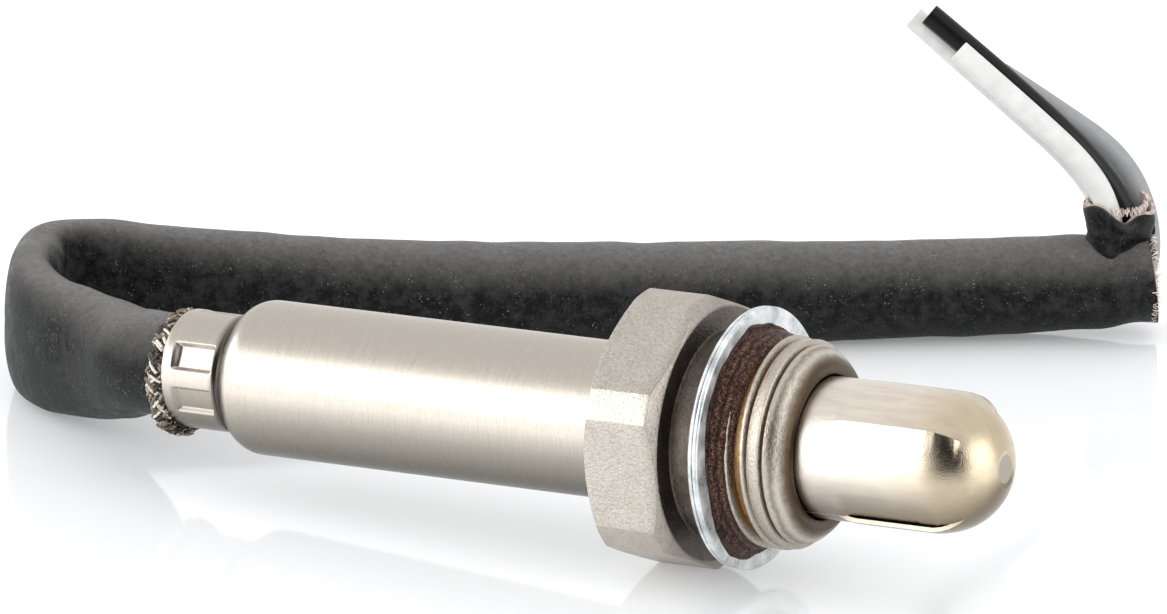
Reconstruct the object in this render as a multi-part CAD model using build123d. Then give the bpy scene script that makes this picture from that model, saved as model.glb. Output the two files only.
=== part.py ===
from build123d import *
import os
from math import acos, asin, atan2, cos, degrees, hypot, radians, sin, sqrt, tan

# Heated thimble-type oxygen sensor with an M18 x 1.5 shank, lying on its side.
# Millimetres. The turned parts are drawn along X: x = 0 is the front face of the
# hexagon, +X runs to the sensing tip and -X to the cable. place() then lays the
# sensor on the table (z = 0), where it rests on one corner of the hexagon.

# ---- sensor shell: hexagon, collar, thread blank and nose ---------------------
hex_across_flats = 22.0
hex_corner_diameter = 24.02      # bar the hexagon is milled from: round corner bands
hex_height = 7.0
hex_face_diameter = 21.6         # flat of the face inside the chamfer
hex_chamfer_angle = 30.0
collar_diameter = 17.6
collar_length = 4.1
thread_diameter = 18.0           # M18 x 1.5, drawn as its plain major cylinder
thread_length = 4.25
thread_lead_in = 0.35
runout_diameter = 16.2
runout_width = 0.3
nose_base_diameter = 16.9
nose_end_diameter = 14.5
nose_length = 1.75
nose_bulge = 0.22
cavity_diameter = 15.2
tube_seat_x = 1.3                # step in the bore that the tube flange sits on
rear_lip_thickness = 0.8         # rim rolled over the crimp washer
rear_lip_clearance = 0.06

# ---- captive folded gasket ------------------------------------------------------
gasket_strip_width = 2.08        # across the ring, from its bore to its rim
gasket_clearance = 0.05          # over the thread crests
gasket_thickness = 1.9
gasket_sheet = 0.45
gasket_offset = 2.0              # stands this far off the hexagon, loose on the collar

# ---- protection tube with four lanced louvres -----------------------------------
tube_wall = 0.35
tube_diameter = 12.04
tube_dome_diameter = 11.9
tube_flange_thickness = 0.4
tube_dome_x = 21.3
tube_tip_flat_diameter = 3.3
tube_clearance = 0.58            # to the bore of the nose
louvre_count = 4
louvre_start_x = 13.4
louvre_length = 11.4
louvre_phase = 49.8              # angle of the first slit, from +Y towards +Z
louvre_flat_angle = 29.6         # pressed flat beside each slit
louvre_lip_angle = 27.0          # raised lip on the other side
louvre_hinge_margin = 3.0        # the lip's inside stops this far short of its hinge line
louvre_press = 0.25              # the flat is pressed in by this much at the slit
louvre_lift = 0.5                # and the lip stands out by this much
louvre_ramp = 1.0                # lip closes on the tube at one end
louvre_run_in = 2.4              # and on the dome at the other
louvre_crown = 0.12              # height of the lip's closing cover over its edge

# ---- sensing element and its packing ----------------------------------------------
seal_ring_thickness = 0.5
seal_ring_clearance = 0.4
element_collar_clearance = 0.3
element_collar_length = 2.6
element_front_diameter = 8.8
element_tip_diameter = 6.2
element_taper_x = 9.0
element_tip_x = 24.0
element_bore_clearance = 0.3     # round the heater rod
element_end_wall = 1.8
element_rear_diameter = 9.4
element_rear_length = 7.3
element_counterbore = 5.2
element_counterbore_depth = 6.5
packing_clearance = 0.05
talc_length = 2.0
packing_ring_length = 1.0
crimp_washer_thickness = 0.5

# ---- casing tube with shoulder and crimped neck ------------------------------------
casing_diameter = 13.38
casing_wall = 0.5
shoulder_radius = 3.8
neck_diameter = 10.26
neck_length = 8.5                # from the start of the shoulder
neck_rim_radius = 0.24
dimple_count = 8
dimple_length = 4.0
dimple_width = 2.44
dimple_depth = 0.53
dimple_rim = 1.15                # plain neck between the dimples and the end
dimple_phase = 16.2              # angle of the first dimple, from +Y towards +Z

# ---- heater, contacts and insulators ------------------------------------------------
heater_diameter = 3.0
heater_tip_gap = 0.15
heater_length = 44.05
heater_end_gap = 2.0
contact_sheet = 0.3
contact_clearance = 0.03
ground_sleeve_length = 4.0
signal_sleeve_length = 8.0
signal_sleeve_depth = 5.5
contact_ear_width = 1.4
ground_ring_bore = 6.6
insulator_clearance = 0.29
insulator_recess_clearance = 0.77
insulator_recess_depth = 4.7
rear_insulator_length = 17.0
heater_bore_clearance = 0.1
finger_width = 0.8
finger_length = 1.5
finger_setback = 3.5             # heater contacts press on the rod this far from its end
pin_diameter = 1.0
pin_clearance = 0.1
barrel_diameter = 2.3
barrel_clearance = 0.05
barrel_length = 3.6
barrel_seat_depth = 13.0         # below the joint of the two insulators
spring_height = 1.6
spring_sheet = 0.35
spring_bore_diameter = 8.6
spring_clearance = 0.09

# ---- grommet, wires and glass-fibre sleeve --------------------------------------------
fit_clearance = 0.03
grommet_head_length = 1.3
grommet_spigot_clearance = 0.05
grommet_spigot_length = 2.5
wire_diameter = 2.1
wire_hole_clearance = 0.02
wire_core_diameter = 1.1
wire_core_clearance = 0.05
wire_end_gap = 0.2               # core stops short of the bottom of its barrel
wire_strip_gap = 0.7             # insulation stops short of its barrel
wire_pitch = 1.84                # each wire stands this far off the axis, both ways
wire_spread = 1.2                # and this far off the sleeve's centre line
sleeve_diameter = 9.3
sleeve_wall = 0.6
sleeve_frayed_diameter = 11.1
sleeve_frayed_length = 2.4
sleeve_straight = 6.8            # straight out of the neck before the first bend
mouth_length = 8.6               # the sleeve is slit open on top at its far end
mouth_depth = 2.9                # from the top of the sleeve down

# ---- how it lies ------------------------------------------------------------------
rest_tilt = 2.5                  # the tip points up by this much
rest_roll = 5.84                 # the lowest corner is this far off straight down

# Centre line of the sleeve, from the first bend to its far end, on the table.
sleeve_route = [
    (-53.3, 4.5, 7.2),
    (-63.3, 9.5, 5.2),
    (-68.3, 20.0, 4.65),
    (-64.3, 30.0, 4.65),
    (-48.8, 38.5, 4.65),
    (-29.0, 50.4, 4.65),
    (-7.8, 64.7, 4.65),
    (6.2, 74.6, 4.7),
    (14.9, 79.1, 5.4),
]

# Free ends of the wires, from the bend in the sleeve's mouth upwards.
wire_ends = {
    "white_wire_1": [(11.2, 76.1, 6.3), (11.3, 75.5, 11.5), (10.1, 73.9, 16.1), (5.8, 71.7, 21.3), (0.3, 68.5, 27.1)],
    "white_wire_2": [(9.9, 78.3, 6.3), (9.8, 78.1, 11.2), (7.3, 77.8, 15.3), (1.7, 75.0, 21.0), (-5.6, 70.9, 28.8)],
    "black_wire": [(13.3, 77.3, 4.1), (13.3, 77.4, 9.6), (11.8, 77.2, 13.8), (6.3, 74.7, 20.4), (-3.1, 69.2, 29.9)],
    "grey_wire": [(13.6, 80.1, 4.1), (13.6, 80.2, 10.4), (10.4, 79.6, 16.0), (5.6, 76.9, 20.6), (1.4, 74.3, 24.3)],
}

# ---- stations and radii that follow from the sizes above ---------------------------
pin_radius = pin_diameter / 2
pin_circle = wire_pitch * sqrt(2)
cavity_radius = cavity_diameter / 2
casing_bore_radius = casing_diameter / 2 - casing_wall
dimple_floor_radius = neck_diameter / 2 - dimple_depth

nose_end_x = collar_length + thread_length + runout_width + nose_length
louvre_end_x = louvre_start_x + louvre_length
tube_flange_x = tube_seat_x - tube_flange_thickness
seal_ring_x = tube_flange_x - seal_ring_thickness
collar_rear_x = seal_ring_x - element_collar_length
element_rear_x = collar_rear_x - element_rear_length
element_bore_x = element_tip_x - element_end_wall
crimp_washer_x = -hex_height + rear_lip_thickness
casing_flange_x = crimp_washer_x + crimp_washer_thickness
packing_ring_x = casing_flange_x + casing_wall
talc_x = packing_ring_x + packing_ring_length

ground_ring_x = element_rear_x - contact_sheet
recess_floor_x = ground_ring_x - insulator_recess_depth
signal_front_x = element_rear_x + signal_sleeve_depth
signal_rear_x = signal_front_x - signal_sleeve_length
heater_tip_x = element_bore_x - heater_tip_gap
heater_rear_x = heater_tip_x - heater_length
finger_front_x = heater_rear_x + finger_setback
insulator_joint_x = heater_rear_x - heater_end_gap
insulator_rear_x = insulator_joint_x - rear_insulator_length
barrel_seat_x = insulator_joint_x - barrel_seat_depth
barrel_rear_x = barrel_seat_x - barrel_length
wire_start_x = barrel_rear_x - wire_strip_gap
grommet_head_x = insulator_rear_x - spring_height
casing_shoulder_x = grommet_head_x - grommet_head_length
neck_end_x = casing_shoulder_x - neck_length

# Wires and terminals by quadrant: (side, height) signs looking along +X.
wire_quadrants = {
    "white_wire_1": (1, 1),
    "white_wire_2": (-1, 1),
    "black_wire": (1, -1),
    "grey_wire": (-1, -1),
}


def turned(*corners):
    """Solid of revolution about X from straight-sided (x, radius) corners."""
    return revolve(make_face(Polyline(*corners, close=True).edges()), Axis.X)


def turned_outline(*edges):
    """Solid of revolution about X from lines and arcs that close on themselves."""
    return revolve(make_face([edge for piece in edges for edge in piece.edges()]), Axis.X)


def ring(x_start, x_end, inner_radius, outer_radius):
    """Plain ring about X."""
    return turned((x_start, inner_radius), (x_start, outer_radius), (x_end, outer_radius), (x_end, inner_radius))


def rod(x_start, x_end, radius):
    """Plain bar about X."""
    return turned((x_start, 0), (x_start, radius), (x_end, radius), (x_end, 0))


def at_angle(angle, shape):
    """Turns a shape drawn at +Y round the axis to an angle from +Y towards +Z."""
    return Rot(angle, 0, 0) * shape


def radial_box(x_start, x_end, r_start, r_end, width):
    """Box standing on +Y between two radii, centred across its width."""
    box = Box(x_end - x_start, r_end - r_start, width, align=(Align.MIN, Align.MIN, Align.CENTER))
    return Pos(x_start, r_start, 0) * box


def quadrant_angle(name):
    side, height = wire_quadrants[name]
    return degrees(atan2(height, side))


def domed_bar(x_start, r_start, x_dome, r_dome, flat_radius):
    """Bar from x_start that ends in a dome with a small flat; gives the solid and the flat's x."""
    x_flat = x_dome + sqrt(r_dome**2 - flat_radius**2)
    flat_angle = degrees(asin(flat_radius / r_dome))
    solid = turned_outline(
        Polyline((x_start, 0), (x_start, r_start), (x_dome, r_dome)),
        CenterArc((x_dome, 0), r_dome, 90, flat_angle - 90),
        Polyline((x_flat, flat_radius), (x_flat, 0), (x_start, 0)),
    )
    return solid, x_flat


# ---- sensor shell ---------------------------------------------------------------------
def sensor_shell():
    corner_radius, face_radius = hex_corner_diameter / 2, hex_face_diameter / 2
    chamfer = (corner_radius - face_radius) * tan(radians(hex_chamfer_angle))
    bar = turned(
        (-hex_height, 0),
        (-hex_height, face_radius),
        (-hex_height + chamfer, corner_radius),
        (-chamfer, corner_radius),
        (0, face_radius),
        (0, 0),
    )
    outline = RegularPolygon(hex_across_flats / 2, 6, major_radius=False, rotation=rest_roll - 90)
    prism = Pos(-hex_height, 0, 0) * extrude(Plane.YZ * outline, hex_height)

    collar_radius, thread_radius = collar_diameter / 2, thread_diameter / 2
    thread_end = collar_length + thread_length
    nose_x = thread_end + runout_width
    base, end = (nose_x, nose_base_diameter / 2), (nose_end_x, nose_end_diameter / 2)
    run, drop = end[0] - base[0], base[1] - end[1]
    slope = hypot(run, drop)
    crown = (
        (base[0] + end[0]) / 2 + nose_bulge * drop / slope,
        (base[1] + end[1]) / 2 + nose_bulge * run / slope,
    )
    shank = turned_outline(
        Polyline(
            (-hex_height / 2, 0),
            (-hex_height / 2, collar_radius),
            (collar_length, collar_radius),
            (collar_length, thread_radius),
            (thread_end - thread_lead_in, thread_radius),
            (thread_end, thread_radius - thread_lead_in),
            (thread_end, runout_diameter / 2),
            (nose_x, runout_diameter / 2),
            base,
        ),
        ThreePointArc(base, crown, end),
        Polyline(end, (nose_end_x, 0), (-hex_height / 2, 0)),
    )
    lip_radius = casing_diameter / 2 + rear_lip_clearance
    bore = turned(
        (-hex_height, 0),
        (-hex_height, lip_radius),
        (crimp_washer_x, lip_radius),
        (crimp_washer_x, cavity_radius),
        (tube_seat_x, cavity_radius),
        (tube_seat_x, tube_diameter / 2 + tube_clearance),
        (nose_end_x, tube_diameter / 2 + tube_clearance),
        (nose_end_x, 0),
    )
    return (bar & prism) + shank - bore


# ---- folded gasket: one strip rolled to a C, open towards the shank -----------------------
def gasket_ring():
    bore_radius = thread_diameter / 2 + gasket_clearance
    bend_radius = gasket_thickness / 2
    edge_radius = bore_radius + gasket_strip_width - bend_radius
    rear, front = gasket_offset, gasket_offset + gasket_thickness
    skin = turned_outline(
        Polyline((rear, edge_radius), (rear, bore_radius), (front, bore_radius), (front, edge_radius)),
        CenterArc((rear + bend_radius, edge_radius), bend_radius, 0, 180),
    )
    rear, front = rear + gasket_sheet, front - gasket_sheet
    hollow = turned_outline(
        Polyline((rear, edge_radius), (rear, 0), (front, 0), (front, edge_radius)),
        CenterArc(((rear + front) / 2, edge_radius), bend_radius - gasket_sheet, 0, 180),
    )
    return skin - hollow


# ---- protection tube: deep-drawn, with louvres lanced and lifted ------------------------------
def protection_tube():
    radius, dome_radius = tube_diameter / 2, tube_dome_diameter / 2
    skin, tip_x = domed_bar(tube_flange_x, radius, tube_dome_x, dome_radius, tube_tip_flat_diameter / 2)
    dome_rise = tip_x - tube_wall - tube_dome_x
    inner_flat = sqrt((dome_radius - tube_wall) ** 2 - dome_rise**2)
    hollow, _ = domed_bar(tube_flange_x, radius - tube_wall, tube_dome_x, dome_radius - tube_wall, inner_flat)

    slit_angles = [louvre_phase + i * 360 / louvre_count for i in range(louvre_count)]
    for angle in slit_angles:
        skin -= louvre_flat(angle, 0)
        hollow -= louvre_flat(angle, tube_wall)
    for angle in slit_angles:
        skin += louvre_lip(angle, 0, 0)
    flange = ring(tube_flange_x, tube_seat_x, radius - tube_wall, cavity_radius - packing_clearance)
    tube = skin + flange - hollow
    for angle in slit_angles:
        tube -= louvre_lip(angle, tube_wall, louvre_hinge_margin)
    return tube


def louvre_radius():
    return (tube_diameter + tube_dome_diameter) / 4


def polar(radius, angle):
    return Vector(cos(radians(angle)), sin(radians(angle))) * radius


def louvre_flat(slit_angle, inset):
    """What is cut away outside the flat pressed beside a slit, inset from its skin."""
    crease = polar(louvre_radius(), slit_angle - louvre_flat_angle)
    edge = polar(louvre_radius() - louvre_press, slit_angle)
    along = (edge - crease).normalized()
    inward = Vector(along.Y, -along.X) * -inset
    crease, edge = crease + inward - along * inset, edge + inward
    section = Polygon(
        (crease.X, crease.Y), (edge.X, edge.Y), (2 * edge.X, 2 * edge.Y), (2 * crease.X, 2 * crease.Y), align=None
    )
    return Pos(louvre_start_x + inset, 0, 0) * extrude(Plane.YZ * section, louvre_length - 2 * inset)


def louvre_lip(slit_angle, inset, hinge_margin):
    """Lip swung out about its hinge line, solid down to the axis, inset from its skin."""
    radius = louvre_radius()
    chord = 2 * radius * sin(radians(louvre_lip_angle / 2))
    swing = degrees(asin(louvre_lift / chord))
    hinge = polar(radius, slit_angle + louvre_lip_angle)
    centre = hinge - polar(radius, slit_angle + louvre_lip_angle + swing)
    first, last = polar(2 * radius, slit_angle), polar(2 * radius, slit_angle + louvre_lip_angle - hinge_margin)
    wedge = Polygon((0, 0), (first.X, first.Y), (last.X, last.Y), align=None)
    section = wedge & Pos(centre.X, centre.Y) * Circle(radius - inset)
    bar = Pos(louvre_start_x, 0, 0) * extrude(Plane.YZ * section, louvre_length)
    return bar & louvre_cover(inset)


def louvre_cover(inset):
    """Turned outline that closes both ends of a lip on the tube and on its dome."""
    crown = louvre_radius() + louvre_lift + louvre_crown - inset
    start, end = louvre_start_x + inset, louvre_end_x - inset
    crown_end = (end - louvre_run_in, crown)
    dome_end = (end, sqrt((tube_dome_diameter / 2) ** 2 - (louvre_end_x - tube_dome_x) ** 2) - inset)
    return turned_outline(
        Polyline((start, 0), (start, louvre_radius() - inset), (start + louvre_ramp, crown), crown_end),
        TangentArc(crown_end, dome_end, tangent=(1, 0)),
        Polyline(dome_end, (end, 0), (start, 0)),
    )


# ---- sensing element, seal ring and packing ---------------------------------------------------
def zirconia_element():
    front_radius, rear_radius = element_front_diameter / 2, element_rear_diameter / 2
    tip_radius = element_tip_diameter / 2
    front, _ = domed_bar(element_taper_x, tip_radius, element_tip_x - tip_radius, tip_radius, tip_radius / 4)
    collar_radius = cavity_radius - element_collar_clearance
    body = turned(
        (element_rear_x, 0),
        (element_rear_x, rear_radius),
        (collar_rear_x, rear_radius),
        (collar_rear_x, collar_radius),
        (seal_ring_x, collar_radius),
        (seal_ring_x, front_radius),
        (element_taper_x, tip_radius),
        (element_taper_x, 0),
    )
    bore = rod(element_rear_x, element_bore_x, heater_diameter / 2 + element_bore_clearance)
    counterbore = rod(element_rear_x, element_rear_x + element_counterbore_depth, element_counterbore / 2)
    return body + front - bore - counterbore


def element_seal_ring():
    inner_radius = element_front_diameter / 2 + seal_ring_clearance
    return ring(seal_ring_x, tube_flange_x, inner_radius, cavity_radius - packing_clearance)


def packed_ring(x_start, x_end):
    """Ring that fills the cavity between the element and the shell."""
    inner_radius = element_rear_diameter / 2 + packing_clearance
    return ring(x_start, x_end, inner_radius, cavity_radius - packing_clearance)


def crimp_washer():
    inner_radius = casing_diameter / 2 + rear_lip_clearance
    return ring(crimp_washer_x, casing_flange_x, inner_radius, cavity_radius - packing_clearance)


# ---- casing tube: drawn shoulder, neck crimped on to the grommet by square dimples ---------------
def shoulder_arc(inset):
    """Arc of the drawn shoulder, inset from the outer skin; gives the arc and its end on the neck."""
    centre = (casing_shoulder_x, casing_diameter / 2 - shoulder_radius)
    arc_radius = shoulder_radius - inset
    neck_radius = neck_diameter / 2 - inset
    rise = neck_radius - centre[1]
    sweep_angle = 90 - degrees(asin(rise / arc_radius))
    neck_x = centre[0] - sqrt(arc_radius**2 - rise**2)
    return CenterArc(centre, arc_radius, 90, sweep_angle), (neck_x, neck_radius)


def neck_dimples(grow):
    """Square punches round the neck, grown on every side and at their floor."""
    x_start = neck_end_x + dimple_rim - grow
    x_end = neck_end_x + dimple_rim + dimple_length + grow
    punch = radial_box(x_start, x_end, dimple_floor_radius - grow, neck_diameter, dimple_width + 2 * grow)
    return [at_angle(dimple_phase + i * 360 / dimple_count, punch) for i in range(dimple_count)]


def casing_tube():
    radius, flange_radius = casing_diameter / 2, cavity_radius - packing_clearance
    front = packing_ring_x
    arc, neck = shoulder_arc(0)
    skin = turned_outline(
        Polyline(
            (front, 0), (front, flange_radius), (casing_flange_x, flange_radius),
            (casing_flange_x, radius), (casing_shoulder_x, radius),
        ),
        arc,
        Line(neck, (neck_end_x + neck_rim_radius, neck[1])),
        CenterArc((neck_end_x + neck_rim_radius, neck[1] - neck_rim_radius), neck_rim_radius, 90, 90),
        Polyline((neck_end_x, neck[1] - neck_rim_radius), (neck_end_x, 0), (front, 0)),
    )
    arc, neck = shoulder_arc(casing_wall)
    hollow = turned_outline(
        Polyline((front, 0), (front, casing_bore_radius), (casing_shoulder_x, casing_bore_radius)),
        arc,
        Polyline(neck, (neck_end_x, neck[1]), (neck_end_x, 0), (front, 0)),
    )
    return (skin - neck_dimples(0)) - (hollow - neck_dimples(casing_wall))


# ---- heater and contacts ----------------------------------------------------------------------
def heater_rod():
    return rod(heater_rear_x, heater_tip_x, heater_diameter / 2)


def ground_contact():
    inner_radius = element_rear_diameter / 2 + contact_clearance
    outer_radius = inner_radius + contact_sheet
    sleeve = ring(ground_ring_x, element_rear_x + ground_sleeve_length, inner_radius, outer_radius)
    end_ring = ring(ground_ring_x, element_rear_x, ground_ring_bore / 2, outer_radius)
    tab_radius = pin_circle + pin_radius + contact_clearance
    tab = radial_box(recess_floor_x + contact_sheet, element_rear_x, tab_radius, tab_radius + contact_sheet, contact_ear_width)
    return sleeve + end_ring + at_angle(quadrant_angle("grey_wire"), tab)


def signal_contact():
    outer_radius = element_counterbore / 2 - contact_clearance
    inner_radius = outer_radius - contact_sheet
    sleeve = ring(signal_rear_x, signal_front_x, inner_radius, outer_radius)
    clamp = ring(signal_rear_x, signal_rear_x + contact_sheet, heater_diameter / 2 + contact_clearance, outer_radius)
    ear = radial_box(signal_rear_x, signal_rear_x + contact_sheet, inner_radius, pin_circle + pin_radius, contact_ear_width)
    return sleeve + clamp + at_angle(quadrant_angle("black_wire"), ear)


def terminal(name):
    """Crimp barrel and pin of one wire; its front end depends on what it feeds."""
    if name == "black_wire":
        front_x = signal_rear_x
    elif name == "grey_wire":
        front_x = signal_rear_x - contact_sheet
    else:
        front_x = finger_front_x + finger_length
    solid = rod(barrel_rear_x, barrel_seat_x, barrel_diameter / 2)
    solid -= rod(barrel_rear_x, barrel_seat_x - pin_radius, wire_core_diameter / 2 + wire_core_clearance)
    solid += rod(barrel_seat_x, front_x, pin_radius)
    if "white" in name:
        reach = pin_circle - heater_diameter / 2 - contact_clearance
        finger = radial_box(finger_front_x - finger_length, finger_front_x, -reach, 0, finger_width)
        solid += finger
    return at_angle(quadrant_angle(name), Pos(0, pin_circle, 0) * solid)


# ---- ceramic insulators and the disc spring behind them --------------------------------------------
def front_insulator():
    heater_bore_radius = heater_diameter / 2 + heater_bore_clearance
    recess_radius = pin_circle + pin_radius + contact_sheet + insulator_recess_clearance
    body = ring(insulator_joint_x, ground_ring_x, heater_bore_radius, casing_bore_radius - insulator_clearance)
    body -= rod(recess_floor_x, ground_ring_x, recess_radius)
    hole = rod(insulator_joint_x, recess_floor_x, pin_radius + pin_clearance)
    slot_front_x = finger_front_x + contact_sheet
    slot_width = finger_width + 2 * pin_clearance
    slot = radial_box(insulator_joint_x, slot_front_x, 0, pin_circle, slot_width)
    for name in wire_quadrants:
        body -= at_angle(quadrant_angle(name), Pos(0, pin_circle, 0) * hole)
        if "white" in name:
            body -= at_angle(quadrant_angle(name), slot)
    return body


def rear_insulator():
    body = rod(insulator_rear_x, insulator_joint_x, casing_bore_radius - insulator_clearance)
    pin_hole = rod(barrel_seat_x, insulator_joint_x, pin_radius + pin_clearance)
    barrel_hole = rod(insulator_rear_x, barrel_seat_x, barrel_diameter / 2 + barrel_clearance)
    for name in wire_quadrants:
        body -= at_angle(quadrant_angle(name), Pos(0, pin_circle, 0) * (pin_hole + barrel_hole))
    return body


def retention_spring():
    rim_radius = casing_bore_radius - spring_clearance
    return turned(
        (insulator_rear_x, spring_bore_diameter / 2),
        (insulator_rear_x - spring_sheet, spring_bore_diameter / 2),
        (grommet_head_x, rim_radius),
        (grommet_head_x + spring_sheet, rim_radius),
    )


# ---- cable grommet: head in the casing, neck gripped by the dimples, spigot in the sleeve -----------
def cable_grommet():
    inset = casing_wall + fit_clearance
    arc, neck = shoulder_arc(inset)
    head_radius = casing_diameter / 2 - inset
    spigot_x = neck_end_x - grommet_spigot_length
    spigot_radius = sleeve_diameter / 2 - sleeve_wall - grommet_spigot_clearance
    body = turned_outline(
        Polyline((grommet_head_x, 0), (grommet_head_x, head_radius), (casing_shoulder_x, head_radius)),
        arc,
        Polyline(
            neck, (neck_end_x, neck[1]), (neck_end_x, spigot_radius),
            (spigot_x, spigot_radius), (spigot_x, 0), (grommet_head_x, 0),
        ),
    )
    body -= neck_dimples(inset)
    hole = rod(spigot_x, grommet_head_x, wire_diameter / 2 + wire_hole_clearance)
    for name in wire_quadrants:
        body -= at_angle(quadrant_angle(name), Pos(0, pin_circle, 0) * hole)
    return body


# ---- cords ----------------------------------------------------------------------------------------
def bend_radii(points):
    """Radius of each bend: as large as the two runs that meet there allow."""
    radii = []
    for before, corner, after in zip(points, points[1:], points[2:]):
        turn = radians((corner - before).get_angle(after - corner))
        shorter = min((corner - before).length, (after - corner).length)
        radii.append(0.45 * shorter / tan(turn / 2))
    return radii


def cord(name, points, radius):
    """Round solid along straight runs joined by tangent arcs."""
    radii = bend_radii(points)
    path = FilletPolyline(*points, radius=radii)
    solid = sweep(Plane(points[0], z_dir=points[1] - points[0]) * Circle(radius), path=path.wire())
    expected = pi_area(radius) * path.wire().length
    print(name, "length", round(path.wire().length, 1), "radii", [round(r, 1) for r in radii],
          "volume/expected", round(solid.volume / expected, 4))
    return solid


def pi_area(radius):
    return Circle(radius).area


def beside(route, side, height):
    """Route moved sideways (left of travel) and upwards, mitred at its bends."""
    moved = []
    for i, point in enumerate(route):
        before = (point - route[i - 1]) if i else (route[1] - point)
        after = (route[i + 1] - point) if i + 1 < len(route) else before
        left_before = Vector(-before.Y, before.X).normalized()
        left_after = Vector(-after.Y, after.X).normalized()
        mitre = (left_before + left_after).normalized()
        spread = side / mitre.dot(left_before)
        moved.append(point + mitre * spread + Vector(0, 0, height))
    return moved


def glass_fibre_sleeve(place):
    start = place_point(place, neck_end_x, 0, 0)
    first_bend = place_point(place, neck_end_x - sleeve_straight, 0, 0)
    points = [start, first_bend] + [Vector(*point) for point in sleeve_route]
    outer = cord("sleeve outer", points, sleeve_diameter / 2)
    bore = cord("sleeve bore", points, sleeve_diameter / 2 - sleeve_wall)
    frayed = place * turned(
        (neck_end_x, 0),
        (neck_end_x, sleeve_frayed_diameter / 2),
        (neck_end_x - sleeve_frayed_length, sleeve_diameter / 2),
        (neck_end_x - sleeve_frayed_length, 0),
    )
    heading = points[-1] - points[-2]
    mouth = Box(2 * mouth_length, 2 * sleeve_diameter, sleeve_diameter, align=(Align.CENTER, Align.CENTER, Align.MIN))
    top = Vector(0, 0, sleeve_diameter / 2 - mouth_depth)
    mouth_plane = Plane(points[-1] + top, x_dir=heading, z_dir=heading.cross(Vector(heading.Y, -heading.X)) * -1)
    return outer + frayed - bore - mouth_plane * mouth


def place_point(place, x, y, z):
    return (place * Pos(x, y, z)).position


def wire(name, place):
    side, height = wire_quadrants[name]
    start = place_point(place, wire_start_x, side * wire_pitch, height * wire_pitch)
    bend = place_point(place, neck_end_x - sleeve_straight, side * wire_pitch, height * wire_pitch)
    route = [Vector(*point) for point in sleeve_route[:-1]]
    inside = beside(route, -side * wire_spread, height * wire_spread)
    free_end = [Vector(*point) for point in wire_ends[name]]
    insulation = cord(name, [start, bend] + inside + free_end, wire_diameter / 2)
    core = rod(wire_start_x, barrel_seat_x - pin_radius - wire_end_gap, wire_core_diameter / 2)
    return insulation + place * (Pos(0, side * wire_pitch, height * wire_pitch) * core)


# ---- build, lay on the table and write ---------------------------------------------------------------
def build():
    rigid = {
        "sensor_shell": sensor_shell(),
        "gasket_ring": gasket_ring(),
        "protection_tube": protection_tube(),
        "element_seal_ring": element_seal_ring(),
        "zirconia_element": zirconia_element(),
        "talc_packing": packed_ring(talc_x, collar_rear_x),
        "packing_ring": packed_ring(packing_ring_x, talc_x),
        "crimp_washer": crimp_washer(),
        "casing_tube": casing_tube(),
        "heater_rod": heater_rod(),
        "ground_contact": ground_contact(),
        "signal_contact": signal_contact(),
        "heater_terminal_1": terminal("white_wire_1"),
        "heater_terminal_2": terminal("white_wire_2"),
        "signal_terminal": terminal("black_wire"),
        "ground_terminal": terminal("grey_wire"),
        "front_insulator": front_insulator(),
        "rear_insulator": rear_insulator(),
        "retention_spring": retention_spring(),
        "cable_grommet": cable_grommet(),
    }
    tilt = Rot(0, -rest_tilt, 0)
    lying = Compound([tilt * solid for solid in rigid.values()]).bounding_box()
    place = Pos(-lying.center().X, -lying.center().Y, -lying.min.Z) * tilt
    nodes = {name: place * solid for name, solid in rigid.items()}
    nodes["glass_fibre_sleeve"] = glass_fibre_sleeve(place)
    for name in wire_quadrants:
        nodes[name] = wire(name, place)
    return nodes


os.makedirs("parts", exist_ok=True)
for node_name, node in build().items():
    export_step(node, f"parts/{node_name}.step")
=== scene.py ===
import math
import bmesh
import bpy
import numpy as np
from mathutils import Matrix


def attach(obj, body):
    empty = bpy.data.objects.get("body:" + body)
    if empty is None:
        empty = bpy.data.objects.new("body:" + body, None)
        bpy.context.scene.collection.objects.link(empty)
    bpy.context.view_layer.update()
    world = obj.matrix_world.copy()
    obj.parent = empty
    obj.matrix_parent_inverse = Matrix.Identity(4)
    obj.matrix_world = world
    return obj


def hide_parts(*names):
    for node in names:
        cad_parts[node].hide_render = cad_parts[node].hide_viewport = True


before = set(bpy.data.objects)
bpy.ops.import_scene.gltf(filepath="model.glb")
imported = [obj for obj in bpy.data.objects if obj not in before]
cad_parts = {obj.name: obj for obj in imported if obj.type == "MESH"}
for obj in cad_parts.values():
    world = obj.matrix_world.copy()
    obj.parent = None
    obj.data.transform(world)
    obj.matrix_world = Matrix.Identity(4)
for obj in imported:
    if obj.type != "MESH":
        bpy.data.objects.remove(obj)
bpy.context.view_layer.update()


# ---- Camera ------------------------------------------------------------------------------------
# A long lens from the right front, 17 degrees above the table, so the sensor shows its tip side.
eye = bpy.data.objects.new("camera", bpy.data.cameras.new("camera"))
eye.data.sensor_width, eye.data.lens = 36, 328.9
eye.data.clip_start, eye.data.clip_end = 0.05, 20
eye_right, eye_up, eye_back = (0.86805, 0.49647, 0), (-0.14515, 0.25379, 0.9563), (0.47478, -0.83012, 0.29237)
eye_place = (0.42734, -0.74585, 0.28406)
eye.matrix_world = Matrix(
    [[eye_right[i], eye_up[i], eye_back[i], eye_place[i]] for i in range(3)] + [[0, 0, 0, 1]]
)
bpy.context.scene.collection.objects.link(eye)
bpy.context.scene.camera = eye


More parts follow.
